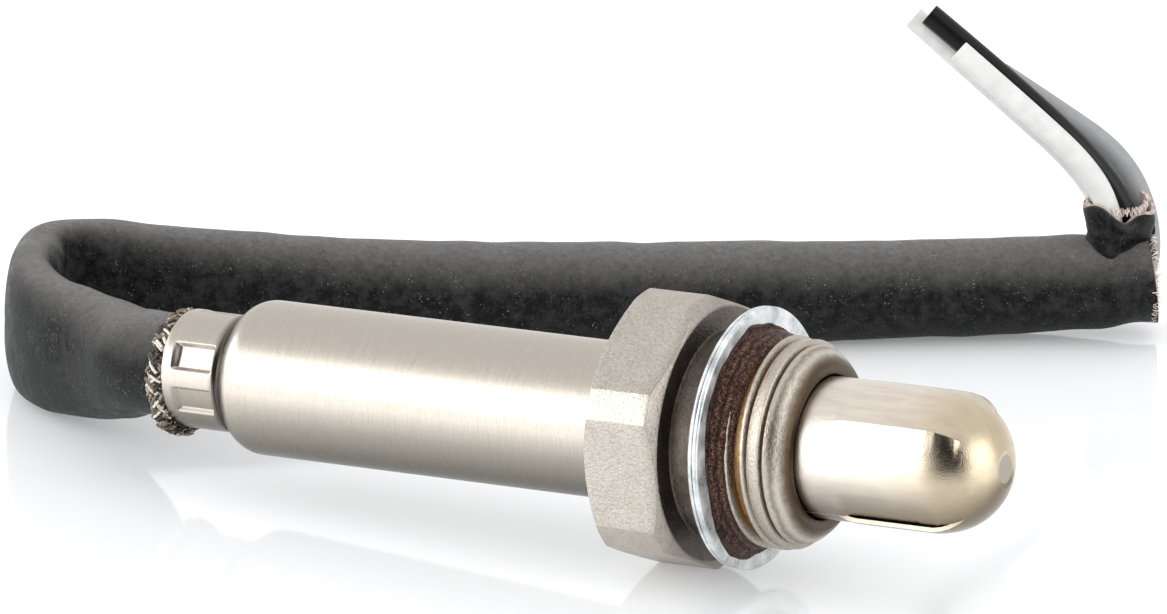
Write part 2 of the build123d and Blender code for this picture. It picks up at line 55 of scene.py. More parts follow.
# ---- Table and light ---------------------------------------------------------------------------
# A glossy white acrylic sheet lies under the sensor; it shows faint reflections and keeps the shadow.
def linear(code):
    """An sRGB hex colour as the linear RGBA that a shader takes."""
    parts = [int(code[i : i + 2], 16) / 255 for i in (1, 3, 5)]
    return tuple(c / 12.92 if c <= 0.04045 else ((c + 0.055) / 1.055) ** 2.4 for c in parts) + (1.0,)


def feed(tree, node, inputs):
    """Set a node's inputs, by name or number, each from a value, an output or a node."""
    for name, value in inputs.items():
        if isinstance(value, bpy.types.Node):
            value = next(o for o in value.outputs if o.enabled)
        if isinstance(value, bpy.types.NodeSocket):
            tree.links.new(value, node.inputs[name])
        else:
            node.inputs[name].default_value = value


def add(tree, kind, inputs=None, **settings):
    """One node in a tree, with its settings by name and its inputs as feed takes them."""
    made = tree.nodes.new(kind)
    for name, value in settings.items():
        setattr(made, name, value)
    feed(tree, made, inputs or {})
    return made


def new_finish(name, **values):
    """A material with its tree and its shader, whose plain values are set on the shader's own sockets."""
    material = bpy.data.materials.new(name)
    material.use_nodes = True
    shader = material.node_tree.nodes["Principled BSDF"]
    for key, value in values.items():
        shader.inputs[key.replace("_", " ")].default_value = value
    return material, material.node_tree, shader


# cast acrylic, polished: white right through, with a clear, slightly soft reflection
acrylic, tree, shader = new_finish(
    "white_acrylic_sheet_polished", Base_Color=linear("#E9ECEE"), Roughness=0.08, IOR=1.58
)
path = add(tree, "ShaderNodeLightPath")
seen = add(
    tree, "ShaderNodeMath", {0: path.outputs["Is Camera Ray"], 1: path.outputs["Is Glossy Ray"]},
    operation="MAXIMUM",
)
seen = add(tree, "ShaderNodeMath", {0: seen, 1: path.outputs["Is Transmission Ray"]}, operation="MAXIMUM")
glow = add(tree, "ShaderNodeMath", {0: seen, 1: 0.20}, operation="MULTIPLY")
feed(tree, shader, {"Emission Color": linear("#FFFFFF"), "Emission Strength": glow})
reach = 3
table_mesh = bpy.data.meshes.new("table")
table_corners = [(-reach, -reach, 0), (reach, -reach, 0), (reach, reach, 0), (-reach, reach, 0)]
table_mesh.from_pydata(table_corners, [], [(0, 1, 2, 3)])
table_mesh.materials.append(acrylic)
table = bpy.data.objects.new("table", table_mesh)
bpy.context.scene.collection.objects.link(table)

studio = bpy.data.worlds.new("white_studio")
bpy.context.scene.world = studio
studio.use_nodes = True
tree = studio.node_tree
tree.nodes.clear()
white = add(tree, "ShaderNodeBackground", {"Color": linear("#FFFFFF"), "Strength": 1.0})
add(tree, "ShaderNodeOutputWorld", {0: white})


def facing(place, target):
    """The matrix of something flat that stands at a place and looks at a target."""
    back = np.array(target, float) - np.array(place, float)
    back /= -np.linalg.norm(back)
    side = np.cross((0, 0, 1), back)
    side /= np.linalg.norm(side)
    over = np.cross(back, side)
    return Matrix([[side[i], over[i], back[i], place[i]] for i in range(3)] + [[0, 0, 0, 1]])


for name, place, width, height, power in (
    ("left_soft_box", (-0.96, -0.75, 0.47), 2.3, 0.86, 15),
    ("right_soft_box", (1.25, 0.05, 0.42), 1.0, 0.80, 4.6),
):
    lamp = bpy.data.objects.new(name, bpy.data.lights.new(name, "AREA"))
    lamp.data.shape, lamp.data.size, lamp.data.size_y, lamp.data.energy = "RECTANGLE", width, height, power
    lamp.matrix_world = facing(place, (0, 0, 0.02))
    bpy.context.scene.collection.objects.link(lamp)

# the dark gap between the two boxes, where the camera stands
# matt black card: it lights nothing and only shows as a dark stripe in the bright metal
card_finish, tree, shader = new_finish("black_card", Base_Color=linear("#0C0C0C"), Roughness=0.9)
card_mesh = bpy.data.meshes.new("dark_card")
card_sides, card_half_width, card_half_height = 48, 0.72, 0.58
card_turn = np.linspace(0, 2 * math.pi, card_sides, endpoint=False)
rim = [(card_half_width * math.cos(a), card_half_height * math.sin(a), 0) for a in card_turn]
card_mesh.from_pydata(rim, [], [tuple(range(card_sides))])
card_mesh.transform(facing((0.65, -0.86, 0.43), (0, 0, 0.01)))
card_mesh.materials.append(card_finish)
card = bpy.data.objects.new("dark_card", card_mesh)
card.visible_diffuse = card.visible_shadow = card.visible_camera = False
bpy.context.scene.collection.objects.link(card)

bpy.context.scene.view_settings.view_transform = "Standard"


# ---- Sleeve ------------------------------------------------------------------------------------
# A braided glass-fibre sleeve with a black silicone coat, 9.8 mm wide, gripped in the sensor's neck.
# It is soft, so it stands flattened on edge where it is folded back, and lies on the table.
MM = 0.001
shank_origin = np.array([13.9797, 0.0, 12.2734])
lean = math.radians(2.5)


def lay(points):
    """Turned coordinates (x to the tip, y, up), mm, into the row frame, in metres."""
    points = np.asarray(points, float)
    x, y, n = points[..., 0], points[..., 1], points[..., 2]
    turned = np.stack([x * math.cos(lean) - n * math.sin(lean), y, x * math.sin(lean) + n * math.cos(lean)], -1)
    return (turned + shank_origin) * MM


sleeve_route = [
    (-38.4, 0.0, 9.99), (-43.4, 0.6, 9.7), (-49.2, 6.2, 7.1), (-60.2, 10.0, 6.3), (-65.4, 16.3, 6.5),
    (-69.0, 26.7, 6.3),
    (-52.4, 34.5, 5.4), (-29.8, 50.0, 4.65), (-7.0, 65.0, 4.5), (8.1, 76.0, 4.5), (14.7, 78.9, 5.4),
]


def centre_line(name, points):
    """The smooth line of a cord's route (mm), as a NURBS curve, and the points read from it, in metres."""
    curve = bpy.data.curves.new(name, "CURVE")
    curve.dimensions = "3D"
    spline = curve.splines.new("NURBS")
    spline.points.add(len(points) - 1)
    for point, place in zip(spline.points, points):
        point.co = (*(c * MM for c in place), 1)
    spline.order_u = 3
    spline.use_endpoint_u = True
    spline.resolution_u = 24
    holder = bpy.data.objects.new(name, curve)
    bpy.context.scene.collection.objects.link(holder)
    read = bpy.data.meshes.new_from_object(holder)
    line = np.array([v.co for v in read.vertices])
    bpy.data.meshes.remove(read)
    bpy.data.objects.remove(holder)
    return line


def evenly(line, step):
    """Points a step apart along a line, their distances from its start, and their headings."""
    along = np.r_[0, np.cumsum(np.linalg.norm(np.diff(line, axis=0), axis=1))]
    count = max(2, int(round(along[-1] / step)) + 1)
    at = np.linspace(0, along[-1], count)
    points = np.stack([np.interp(at, along, line[:, i]) for i in range(3)], -1)
    heading = np.gradient(points, axis=0)
    heading /= np.linalg.norm(heading, axis=1)[:, None]
    return points, at, heading


def skin(name, rings, wrap_rows=False, wrap_columns=True, caps=()):
    """A mesh through rings of points; caps close the first (0) and last (-1) ring with a fan."""
    rows, columns = rings.shape[:2]
    r = np.arange(rows if wrap_rows else rows - 1)[:, None]
    c = np.arange(columns if wrap_columns else columns - 1)[None, :]
    ahead, beside = (r + 1) % rows, (c + 1) % columns
    quads = np.stack([r * columns + c, r * columns + beside, ahead * columns + beside, ahead * columns + c], -1)
    faces = quads.reshape(-1, 4).tolist()
    points = rings.reshape(-1, 3).tolist()
    for end in caps:
        base = 0 if end == 0 else (rows - 1) * columns
        middle = len(points)
        points.append(rings[end].mean(axis=0).tolist())
        for i in range(columns):
            j = (i + 1) % columns
            faces.append([base + j, base + i, middle] if end == 0 else [base + i, base + j, middle])
    mesh = bpy.data.meshes.new(name)
    mesh.from_pydata(points, [], faces)
    mesh.update()
    made = bpy.data.objects.new(name, mesh)
    bpy.context.scene.collection.objects.link(made)
    return made


def welded(mesh, gap):
    """Merge points that lie on each other, as at a seam."""
    loose = bmesh.new()
    loose.from_mesh(mesh)
    bmesh.ops.remove_doubles(loose, verts=loose.verts, dist=gap)
    loose.to_mesh(mesh)
    loose.free()


def settled(made, sharp=40):
    """Turn a piece with its modifiers into a plain mesh with smooth faces and sharp edges over an angle."""
    mesh = bpy.data.meshes.new_from_object(made.evaluated_get(bpy.context.evaluated_depsgraph_get()))
    made.modifiers.clear()
    made.data = mesh
    mesh.name = made.name
    mesh.shade_smooth()
    if sharp:
        mesh.set_sharp_from_angle(angle=math.radians(sharp))
    return made


def swell(a, b, seed, waves=((1, 1.0),)):
    """Smooth noise from a few seeded waves over two coordinates, about -1 to 1."""
    dice = np.random.default_rng(seed)
    total, weight = 0.0, 0.0
    for scale, strength in waves:
        for _ in range(5):
            turn, phase = dice.uniform(0, 2 * math.pi, 2)
            pull = dice.uniform(0.6, 1.4) * scale
            total = total + strength * np.sin(pull * (a * math.cos(turn) + b * math.sin(turn)) + phase)
            weight += strength
    return total / weight * 2.2


def evened_out(values, reach=6):
    """The running mean of a row of values, each with its neighbours on both sides."""
    window = 2 * reach + 1
    return np.convolve(np.pad(values, reach, "edge"), np.ones(window) / window, "valid")


sleeve_line = centre_line("glass_fibre_sleeve", sleeve_route)
middle, run, heading = evenly(sleeve_line, 0.5 * MM)
run = run / MM
# stations along the sleeve and its half height there: tallest at the fold, lowest at the cut end
stations_mm = [0, 3, 6, 9, 12, 16, 20, 24, 28, 32, 36, 40, 44, 48, 54, 60, 70, 80, 90, 100, 120, 130, 135, 140]
heights_mm = [4.45, 4.45, 4.5, 4.7, 5.07, 5.5, 5.85, 6.15, 6.35, 6.4, 6.3, 6.15, 6.0, 5.8, 5.54, 5.32, 5.0]
heights_mm += [4.77, 4.6, 4.5, 4.43, 4.3, 4.1, 3.8]
half_height = np.interp(run, stations_mm, heights_mm)
half_height = evened_out(half_height)
sleeve_girth = 29.4  # mm round the sleeve, the same however it is flattened
widths = np.linspace(1.5, 7, 400)
tall, wide = half_height[:, None], widths[None, :]
girths = math.pi * (3 * (tall + wide) - np.sqrt((3 * tall + wide) * (tall + 3 * wide)))
half_width = widths[np.argmin(abs(girths - sleeve_girth), axis=1)]
half_width = evened_out(half_width)
half_width *= np.interp(run, [0, 4, 10], [0.94, 0.96, 1.0])
around = np.linspace(0, 2 * math.pi, 144, endpoint=False)
left = np.cross((0, 0, 1.0), heading)
left /= np.linalg.norm(left, axis=1)[:, None]
over = np.cross(heading, left)
fold = np.clip((half_height - 4.8) / 1.4, 0, 1)[:, None]
level, rise = np.cos(around)[None, :], np.sin(around)[None, :]
across = half_width[:, None] * np.sign(level) * abs(level) ** (1 - 0.30 * fold)
upward = half_height[:, None] * np.sign(rise) * abs(rise) ** (1 - 0.22 * fold)
# folded cloth: the inner side of each fold buckles into upright pleats, and the top edge dips between them
inner = np.clip(-level, 0, 1) ** 2
station, turn = run[:, None], around[None, :]
pleats = (
    (15, 2.2, 0.2), (29.5, 1.3, 0.7), (33.5, 1.1, -0.35), (38.5, 1.0, 0.65), (43.0, 1.5, 0.5), (48.0, 1.6, 0.3)
)
pleat = sum(depth * np.exp(-(((station - at) / width) ** 2)) for at, width, depth in pleats)
across = across + pleat * inner
outer_dent = -0.5 * np.exp(
    -(((station - 31) / 3.0) ** 2)
) * np.clip(level, 0, 1) ** 2 * np.clip(rise + 0.2, 0, 1)
across = across + outer_dent
upward = upward - 0.45 * np.exp(-(((station - 36.5) / 2.2) ** 2)) * np.clip(rise, 0, 1) ** 3
ripple = 0.07 * swell(station * 0.35, turn * 2, 5) + 0.035 * swell(station * 1.1, turn * 4, 6)
ripple = ripple * np.clip(station / 5, 0, 1)
crush = 0.18 * swell(station * 1.3, turn * 3, 8) * np.clip((station - run[-1] + 9) / 6, 0, 1)
across, upward = across + (ripple + crush) * level, upward + (ripple + crush) * rise
rings = middle[:, None, :] + (across[..., None] * left[:, None, :] + upward[..., None] * over[:, None, :]) * MM
# the far end is cut off askew, square to the eye rather than to the sleeve
cut_face = np.cross((0.475, -0.830, 0.292), over[-1])
near_end = np.clip((run - run[-1] + 10) / 10, 0, 1)[:, None]
skew = -across * (left @ cut_face)[:, None] / (heading @ cut_face)[:, None] * near_end
rings = rings + skew[..., None] * heading[:, None, :] * MM
rings[..., 2] = np.maximum(rings[..., 2], 0.02 * MM)
sleeve = skin("glass_fibre_sleeve_coat", rings)

def plain_millimetres(tree):
    """Object coordinates in mm."""
    place = add(tree, "ShaderNodeTexCoord").outputs["Object"]
    return add(tree, "ShaderNodeMapping", {"Vector": place, "Scale": (1000, 1000, 1000)})


def set_stops(ramp, stops):
    """Give a ramp its stops, as positions and hex colours from the lowest to the highest."""
    elements = ramp.color_ramp.elements
    (elements[0].position, first), (elements[1].position, last) = stops[0], stops[-1]
    elements[0].color, elements[1].color = linear(first), linear(last)
    for at, shade in stops[1:-1]:
        elements.new(at).color = linear(shade)


# the dipped coat is satin, blotched where it rubbed thin, with a fine grain from the braid below
silicone, tree, shader = new_finish("silicone_coated_glass_fibre_black", Specular_IOR_Level=0.15)
millimetres = plain_millimetres(tree)
blotch = add(tree, "ShaderNodeTexNoise", {"Vector": millimetres, "Scale": 0.7, "Detail": 9, "Roughness": 0.85})
coat = add(tree, "ShaderNodeValToRGB", {0: blotch})
set_stops(coat, ((0.45, "#030303"), (0.58, "#343434")))
# painted top light: the upper side is mixed towards pale grey as a painted sheen from above; "lit_side" says
# how far each spot faces up
top_light_noise = add(
    tree, "ShaderNodeTexNoise", {"Vector": millimetres, "Scale": 1.6, "Detail": 6, "Roughness": 0.8}
)
lit_side = add(tree, "ShaderNodeAttribute", attribute_name="lit_side")
painted_top_light = add(tree, "ShaderNodeMath", {0: top_light_noise, 1: lit_side.outputs["Fac"]}, operation="MULTIPLY")
top_lit_coat = add(tree, "ShaderNodeMix", {0: painted_top_light, 6: coat, 7: linear("#9C9A97")}, data_type="RGBA")
dust = add(tree, "ShaderNodeTexVoronoi", {"Vector": millimetres, "Scale": 3.0, "Randomness": 1.0})
thin_dust = add(tree, "ShaderNodeTexNoise", {"Vector": millimetres, "Scale": 0.5, "Detail": 4})
reach_dust = add(
    tree, "ShaderNodeMapRange",
    {"Value": thin_dust, "From Min": 0.34, "From Max": 0.80, "To Min": 0.0, "To Max": 0.29},
)
speck = add(tree, "ShaderNodeMath", {0: dust.outputs["Distance"], 1: reach_dust}, operation="LESS_THAN")
speck = add(tree, "ShaderNodeMath", {0: speck, 1: 0.5}, operation="MULTIPLY")
spotted = add(tree, "ShaderNodeMix", {0: speck, 6: top_lit_coat.outputs[2], 7: linear("#A9A7A3")}, data_type="RGBA")
grain = add(tree, "ShaderNodeTexNoise", {"Vector": millimetres, "Scale": 1.9, "Detail": 7, "Roughness": 0.75})
bump = add(tree, "ShaderNodeBump", {"Height": grain, "Strength": 1.0, "Distance": 0.0004})
gloss = add(
    tree, "ShaderNodeMapRange",
    {"Value": blotch, "From Min": 0.38, "From Max": 0.62, "To Min": 0.18, "To Max": 0.6},
)
feed(tree, shader, {"Base Color": spotted.outputs[2], "Roughness": gloss, "Normal": bump})


def mark_lit_side(mesh):
    """Store on each vertex how far it faces up, from 0 at the sides to 1 on top."""
    upward = np.empty(len(mesh.vertices) * 3)
    mesh.vertices.foreach_get("normal", upward)
    lit = np.clip((upward.reshape(-1, 3)[:, 2] - 0.25) / 0.75, 0, 1) ** 1.2
    mesh.attributes.new("lit_side", "FLOAT", "POINT").data.foreach_set("value", lit)


# the woven glass yarns that show at a cut edge and inside, off-white with a pink tinge
cloth, tree, shader = new_finish("glass_fibre_cloth_raw", Roughness=0.75)
millimetres = plain_millimetres(tree)
weave = add(tree, "ShaderNodeTexVoronoi", {"Vector": millimetres, "Scale": 2.5})
tone = add(
    tree, "ShaderNodeMix", {0: weave.outputs["Distance"], 6: linear("#EADCD3"), 7: linear("#8A7468")},
    data_type="RGBA",
)
feed(tree, shader, {"Base Color": tone.outputs[2]})
def walled(made, thickness, rim_slot, sharp, finishes):
    """Give an open skin a wall inwards (mm): first finish outside, second inside, and one on the rim."""
    for finish in finishes:
        made.data.materials.append(finish)
    wall = made.modifiers.new("wall", "SOLIDIFY")
    wall.thickness, wall.offset = thickness * MM, -1
    wall.material_offset, wall.material_offset_rim = 1, rim_slot
    return settled(made, sharp)


walled(sleeve, 0.6, 1, 50, (silicone, cloth))
mark_lit_side(sleeve.data)

# the collar: coat pushed up round the wires where they leave the end of the sleeve
collar_rows = np.linspace(0, 1, 22)
collar_turn = np.linspace(0, 2 * math.pi, 96, endpoint=False)
exit_foot, exit_top = np.array([12.2, 77.6, 6.6]), np.array([11.8, 77.3, 12.1])
along_end, across_end = np.array([0.79, 0.61, 0]), np.array([-0.61, 0.79, 0])
crumple = 0.42 * swell(collar_rows[:, None] * 6, collar_turn[None, :] * 3, 31, ((1, 1), (2.4, 0.9)))
spread = 1 + 0.10 * np.cos(3 * collar_turn[None, :] + 1.0) * collar_rows[:, None] + 0.06 * collar_rows[:, None]
collar_r = (2.95 * spread + crumple)[..., None]
top_edge = 1 + 0.12 * np.sin(2 * collar_turn + 0.6) + 0.07 * np.sin(5 * collar_turn)
centre = exit_foot + (exit_top - exit_foot) * (collar_rows[:, None, None] * top_edge[None, :, None])
lengthwise = collar_r * np.cos(collar_turn)[None, :, None] * along_end
crosswise = collar_r * np.sin(collar_turn)[None, :, None] * across_end
collar_rings = centre + lengthwise + crosswise
collar = skin("sleeve_mouth_collar", collar_rings * MM)
walled(collar, 0.45, 1, 60, (silicone, cloth))
mark_lit_side(collar.data)


# ---- Frayed yarns ------------------------------------------------------------------------------
# Where the sleeve is cut, its braid opens into short yarns: a rolled fringe round the neck, browned by
# heat, and a pale fuzz at the mouth. Each yarn is a short bent thread, crossed over its neighbours.
fray_tree = bpy.data.node_groups.new("frayed_yarns", "GeometryNodeTree")
for name, kind in (
    ("Count", "Int"), ("Ring Radius", "Float"), ("Roll Radius", "Float"), ("Yarn Length", "Float"),
    ("Yarn Radius", "Float"), ("Slant", "Float"), ("Seed", "Int"), ("Material", "Material"),
):
    fray_tree.interface.new_socket(name, in_out="INPUT", socket_type="NodeSocket" + kind)
fray_tree.interface.new_socket("Geometry", in_out="OUTPUT", socket_type="NodeSocketGeometry")
given = add(fray_tree, "NodeGroupInput").outputs
spots = add(fray_tree, "GeometryNodePoints", {"Count": given["Count"]})
number = add(fray_tree, "GeometryNodeInputIndex")
draws = {}
for name, low, high, salt in (
    ("turn", -0.03, 0.03, 1), ("size", 0.7, 1.35, 2), ("slant", -0.3, 0.3, 3), ("tone", 0.0, 1.0, 4),
    ("tilt", -0.25, 0.25, 5),
):
    seed = add(fray_tree, "ShaderNodeMath", {0: given["Seed"], 1: float(salt)}, operation="ADD")
    draw = add(
        fray_tree, "FunctionNodeRandomValue", {2: low, 3: high, "ID": number, "Seed": seed}, data_type="FLOAT"
    )
    draws[name] = draw.outputs[1]
# the yarns' feet go evenly round the ring, and by golden steps round the roll
share = add(fray_tree, "ShaderNodeMath", {0: number, 1: given["Count"]}, operation="DIVIDE")
turn = add(fray_tree, "ShaderNodeMath", {0: share, 1: 2 * math.pi}, operation="MULTIPLY")
turn = add(fray_tree, "ShaderNodeMath", {0: turn, 1: draws["turn"]}, operation="ADD")
golden = add(fray_tree, "ShaderNodeMath", {0: number, 1: 0.381966}, operation="MULTIPLY")
golden = add(fray_tree, "ShaderNodeMath", {0: golden}, operation="FRACT")
roll = add(fray_tree, "ShaderNodeMath", {0: golden, 1: 2 * math.pi}, operation="MULTIPLY")
sine_of_roll = add(fray_tree, "ShaderNodeMath", {0: roll}, operation="SINE")
cosine_of_roll = add(fray_tree, "ShaderNodeMath", {0: roll}, operation="COSINE")
x = add(fray_tree, "ShaderNodeMath", {0: sine_of_roll, 1: given["Roll Radius"]}, operation="MULTIPLY")
bulge = add(fray_tree, "ShaderNodeMath", {0: cosine_of_roll, 1: given["Roll Radius"]}, operation="MULTIPLY")
out = add(fray_tree, "ShaderNodeMath", {0: given["Ring Radius"], 1: bulge}, operation="ADD")
cosine_of_turn = add(fray_tree, "ShaderNodeMath", {0: turn}, operation="COSINE")
sine_of_turn = add(fray_tree, "ShaderNodeMath", {0: turn}, operation="SINE")
y = add(fray_tree, "ShaderNodeMath", {0: out, 1: cosine_of_turn}, operation="MULTIPLY")
z = add(fray_tree, "ShaderNodeMath", {0: out, 1: sine_of_turn}, operation="MULTIPLY")
spot = add(fray_tree, "ShaderNodeCombineXYZ", {0: x, 1: y, 2: z})
ring = add(fray_tree, "GeometryNodeSetPosition", {"Geometry": spots, "Position": spot})
# one yarn is a short bent thread with five sides
half = add(fray_tree, "ShaderNodeMath", {0: given["Yarn Length"], 1: 0.5}, operation="MULTIPLY")
minus_half = add(fray_tree, "ShaderNodeMath", {0: half, 1: -1.0}, operation="MULTIPLY")
belly = add(fray_tree, "ShaderNodeMath", {0: half, 1: 0.7}, operation="MULTIPLY")
low_end = add(fray_tree, "ShaderNodeCombineXYZ", {2: minus_half})
high_end = add(fray_tree, "ShaderNodeCombineXYZ", {2: half})
bow = add(fray_tree, "ShaderNodeCombineXYZ", {1: belly})
ends = {"Resolution": 5, "Start": low_end, "Middle": bow, "End": high_end}
spine = add(fray_tree, "GeometryNodeCurveQuadraticBezier", ends)
section = add(fray_tree, "GeometryNodeCurvePrimitiveCircle", {"Resolution": 5, "Radius": given["Yarn Radius"]})
bent = {"Curve": spine, "Profile Curve": section, "Fill Caps": True}
yarn = add(fray_tree, "GeometryNodeCurveToMesh", bent)
about = add(fray_tree, "ShaderNodeCombineXYZ", {0: turn})
spread_out = {"Points": ring, "Instance": yarn, "Rotation": about, "Scale": draws["size"]}
placed = add(fray_tree, "GeometryNodeInstanceOnPoints", spread_out)
# every other yarn slants the other way, as in a braid
odd = add(fray_tree, "ShaderNodeMath", {0: number, 1: 2.0}, operation="MODULO")
odd = add(fray_tree, "ShaderNodeMath", {0: odd, 1: 2.0}, operation="MULTIPLY")
side = add(fray_tree, "ShaderNodeMath", {0: odd, 1: 1.0}, operation="SUBTRACT")
slanted = add(fray_tree, "ShaderNodeMath", {0: side, 1: given["Slant"]}, operation="MULTIPLY")
slanted = add(fray_tree, "ShaderNodeMath", {0: slanted, 1: draws["slant"]}, operation="ADD")
tilt = add(fray_tree, "ShaderNodeCombineXYZ", {0: draws["tilt"], 1: slanted})
placed = add(fray_tree, "GeometryNodeRotateInstances", {"Instances": placed, "Rotation": tilt})
shade = {"Geometry": placed, "Name": "yarn_tone", "Value": draws["tone"]}
toned = add(fray_tree, "GeometryNodeStoreNamedAttribute", shade, data_type="FLOAT", domain="INSTANCE")
real = add(fray_tree, "GeometryNodeRealizeInstances", {0: toned})
painted = add(fray_tree, "GeometryNodeSetMaterial", {"Geometry": real, "Material": given["Material"]})
add(fray_tree, "NodeGroupOutput", {0: painted})


def grown(name, tree, values):
    """The mesh that a Geometry Nodes tree makes from named values, as a plain piece."""
    holder = bpy.data.objects.new(name, bpy.data.meshes.new(name))
    bpy.context.scene.collection.objects.link(holder)
    growth = holder.modifiers.new("grown", "NODES")
    growth.node_group = tree
    for item in tree.interface.items_tree:
        if item.in_out == "INPUT" and item.name in values:
            growth[item.identifier] = values[item.name]
    return settled(holder, 60)


def yarn_finish(name, shades):
    """Twisted glass yarn: each thread takes its own shade."""
    material, tree, shader = new_finish(name, Roughness=0.6)
    tone = add(tree, "ShaderNodeAttribute", attribute_name="yarn_tone")
    choice = add(tree, "ShaderNodeValToRGB", {0: tone.outputs["Fac"]})
    choice.color_ramp.interpolation = "CONSTANT"
    set_stops(choice, [(i / len(shades), shade) for i, shade in enumerate(shades)])
    feed(tree, shader, {"Base Color": choice})
    return material


browned = yarn_finish("glass_yarn_browned", ("#26221E", "#766A5A", "#BCAF9D", "#E2DBD0", "#3F3830", "#998A77"))
pale = yarn_finish("glass_yarn_pale", ("#EBDFD8", "#D6C3B9", "#F5EFEB", "#C7AEA2"))
fringe = grown("frayed_braid_fringe", fray_tree, {
    "Count": 600, "Ring Radius": 4.9 * MM, "Roll Radius": 0.34 * MM, "Yarn Length": 1.1 * MM,
    "Yarn Radius": 0.11 * MM, "Slant": 0.8, "Seed": 3, "Material": browned,
})
lean_rows = [[math.cos(lean), 0, -math.sin(lean), 0], [0, 1, 0, 0], [math.sin(lean), 0, math.cos(lean), 0]]
fringe.data.transform(Matrix(lean_rows + [[0, 0, 0, 1]]))
fringe.data.transform(Matrix.Translation(lay((-52.95, 0, -0.5)).tolist()))
end_across = left[-1] + heading[-1] * float(-(left[-1] @ cut_face) / (heading[-1] @ cut_face))
fuzz_ring = 2.85  # mm, the radius to which a ring of fuzz fills a unit axis
fuzz = []
for name, centre, x_axis, y_axis, z_axis, count, seed in (
    (
        "mouth_fuzz", exit_foot + (exit_top - exit_foot) * 1.02, (0, 0, 1), along_end * 0.98, across_end * 1.03,
        320, 11,
    ),
    (
        "end_fuzz", middle[-1] / MM, along_end, end_across * half_width[-1] / fuzz_ring,
        np.array((0, 0, half_height[-1] / fuzz_ring)), 190, 12,
    ),
):
    piece = grown(name, fray_tree, {
        "Count": count, "Ring Radius": 2.68 * MM, "Roll Radius": 0.14 * MM, "Yarn Length": 0.5 * MM,
        "Yarn Radius": 0.03 * MM, "Slant": 1.2, "Seed": seed, "Material": pale,
    })
    rows = [[x_axis[i], y_axis[i], z_axis[i], centre[i] * MM] for i in range(3)]
    piece.data.transform(Matrix(rows + [[0, 0, 0, 1]]))
    fuzz.append(piece)
for piece in (sleeve, collar, fringe, *fuzz):
    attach(piece, "root")
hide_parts("glass_fibre_sleeve")


# ---- Wires -------------------------------------------------------------------------------------
# Four stranded copper wires, 2.1 mm over their silicone insulation, two white, one black, one grey.
# They run from the terminals through the sleeve, come out of its mouth and stand up, cut off square.
wire_pitch, wire_spread, wire_radius, core_radius, strand_radius = 1.84, 1.2, 1.05, 0.62, 0.118
wire_quadrants = {"white_wire_1": (1, 1), "white_wire_2": (-1, 1), "black_wire": (1, -1), "grey_wire": (-1, -1)}
wire_ends = {
    "white_wire_1": [
        (12.0, 76.6, 6.3), (12.1, 76.0, 11.5), (10.7, 74.2, 16.1), (6.2, 71.0, 21.5), (-0.3, 69.6, 26.7)
    ],
    "white_wire_2": [
        (10.5, 78.4, 6.3), (10.4, 78.2, 11.2), (7.5, 77.9, 15.3), (2.1, 74.3, 21.3), (-6.3, 72.2, 28.4)
    ],
    "black_wire": [
        (13.3, 77.3, 4.1), (13.3, 77.4, 9.6), (11.8, 77.2, 13.8), (6.8, 73.8, 20.7), (-4.0, 70.9, 29.3)
    ],
    "grey_wire": [
        (13.6, 80.1, 4.1), (13.8, 80.3, 10.4), (11.0, 79.9, 16.0), (5.7, 76.8, 20.4), (1.0, 75.3, 23.4)
    ],
}


def beside(route, side, height):
    """The sleeve's route moved sideways and up, so that each wire keeps its own quarter of the sleeve."""
    route = np.array(route, float)
    step = np.diff(route[:, :2], axis=0)
    normal = np.stack([-step[:, 1], step[:, 0]], -1) / np.linalg.norm(step, axis=1)[:, None]
    first, last = np.vstack([normal[:1], normal]), np.vstack([normal, normal[-1:]])
    mitre = (first + last) / np.linalg.norm(first + last, axis=1)[:, None]
    shift = np.reshape(side, (-1, 1)) * mitre / (mitre * first).sum(axis=1)[:, None]
    return [(*(p[:2] + s), p[2] + h) for p, s, h in zip(route, shift, height)]


def tube(name, line, radius, step, columns, caps=()):
    """A round mesh tube along a line, and the points, headings and cross axes that it follows."""
    points, _, heading = evenly(line, step)
    side = np.cross((0.3, 0.2, 1.0), heading[0])
    sides = []
    for h in heading:
        side = side - h * side.dot(h)
        side /= np.linalg.norm(side)
        sides.append(side)
    sides = np.array(sides)
    overs = np.cross(heading, sides)
    turn = np.linspace(0, 2 * math.pi, columns, endpoint=False)
    swing = np.cos(turn)[None, :, None] * sides[:, None, :] + np.sin(turn)[None, :, None] * overs[:, None, :]
    return skin(name, points[:, None, :] + swing * radius, caps=caps), points, heading, sides, overs


def insulation(name, code, rough):
    """Extruded silicone: satin, with faint soft marks from handling."""
    material, tree, shader = new_finish(name, Roughness=rough, Specular_IOR_Level=0.3)
    millimetres = plain_millimetres(tree)
    marks = add(tree, "ShaderNodeTexNoise", {"Vector": millimetres, "Scale": 0.9, "Detail": 4})
    dark = tuple(c * 0.72 for c in linear(code)[:3]) + (1,)
    tone = add(tree, "ShaderNodeMix", {0: marks, 6: dark, 7: linear(code)}, data_type="RGBA")
    skin_bump = add(tree, "ShaderNodeBump", {"Height": marks, "Strength": 0.12, "Distance": 0.0002})
    feed(tree, shader, {"Base Color": tone.outputs[2], "Normal": skin_bump})
    return material


wire_finish = {
    "white_wire_1": insulation("silicone_insulation_white", "#F1F1EE", 0.42),
    "black_wire": insulation("silicone_insulation_black", "#0B0B0C", 0.38),
    "grey_wire": insulation("silicone_insulation_grey", "#A9ABAC", 0.40),
}
wire_finish["white_wire_2"] = wire_finish["white_wire_1"]

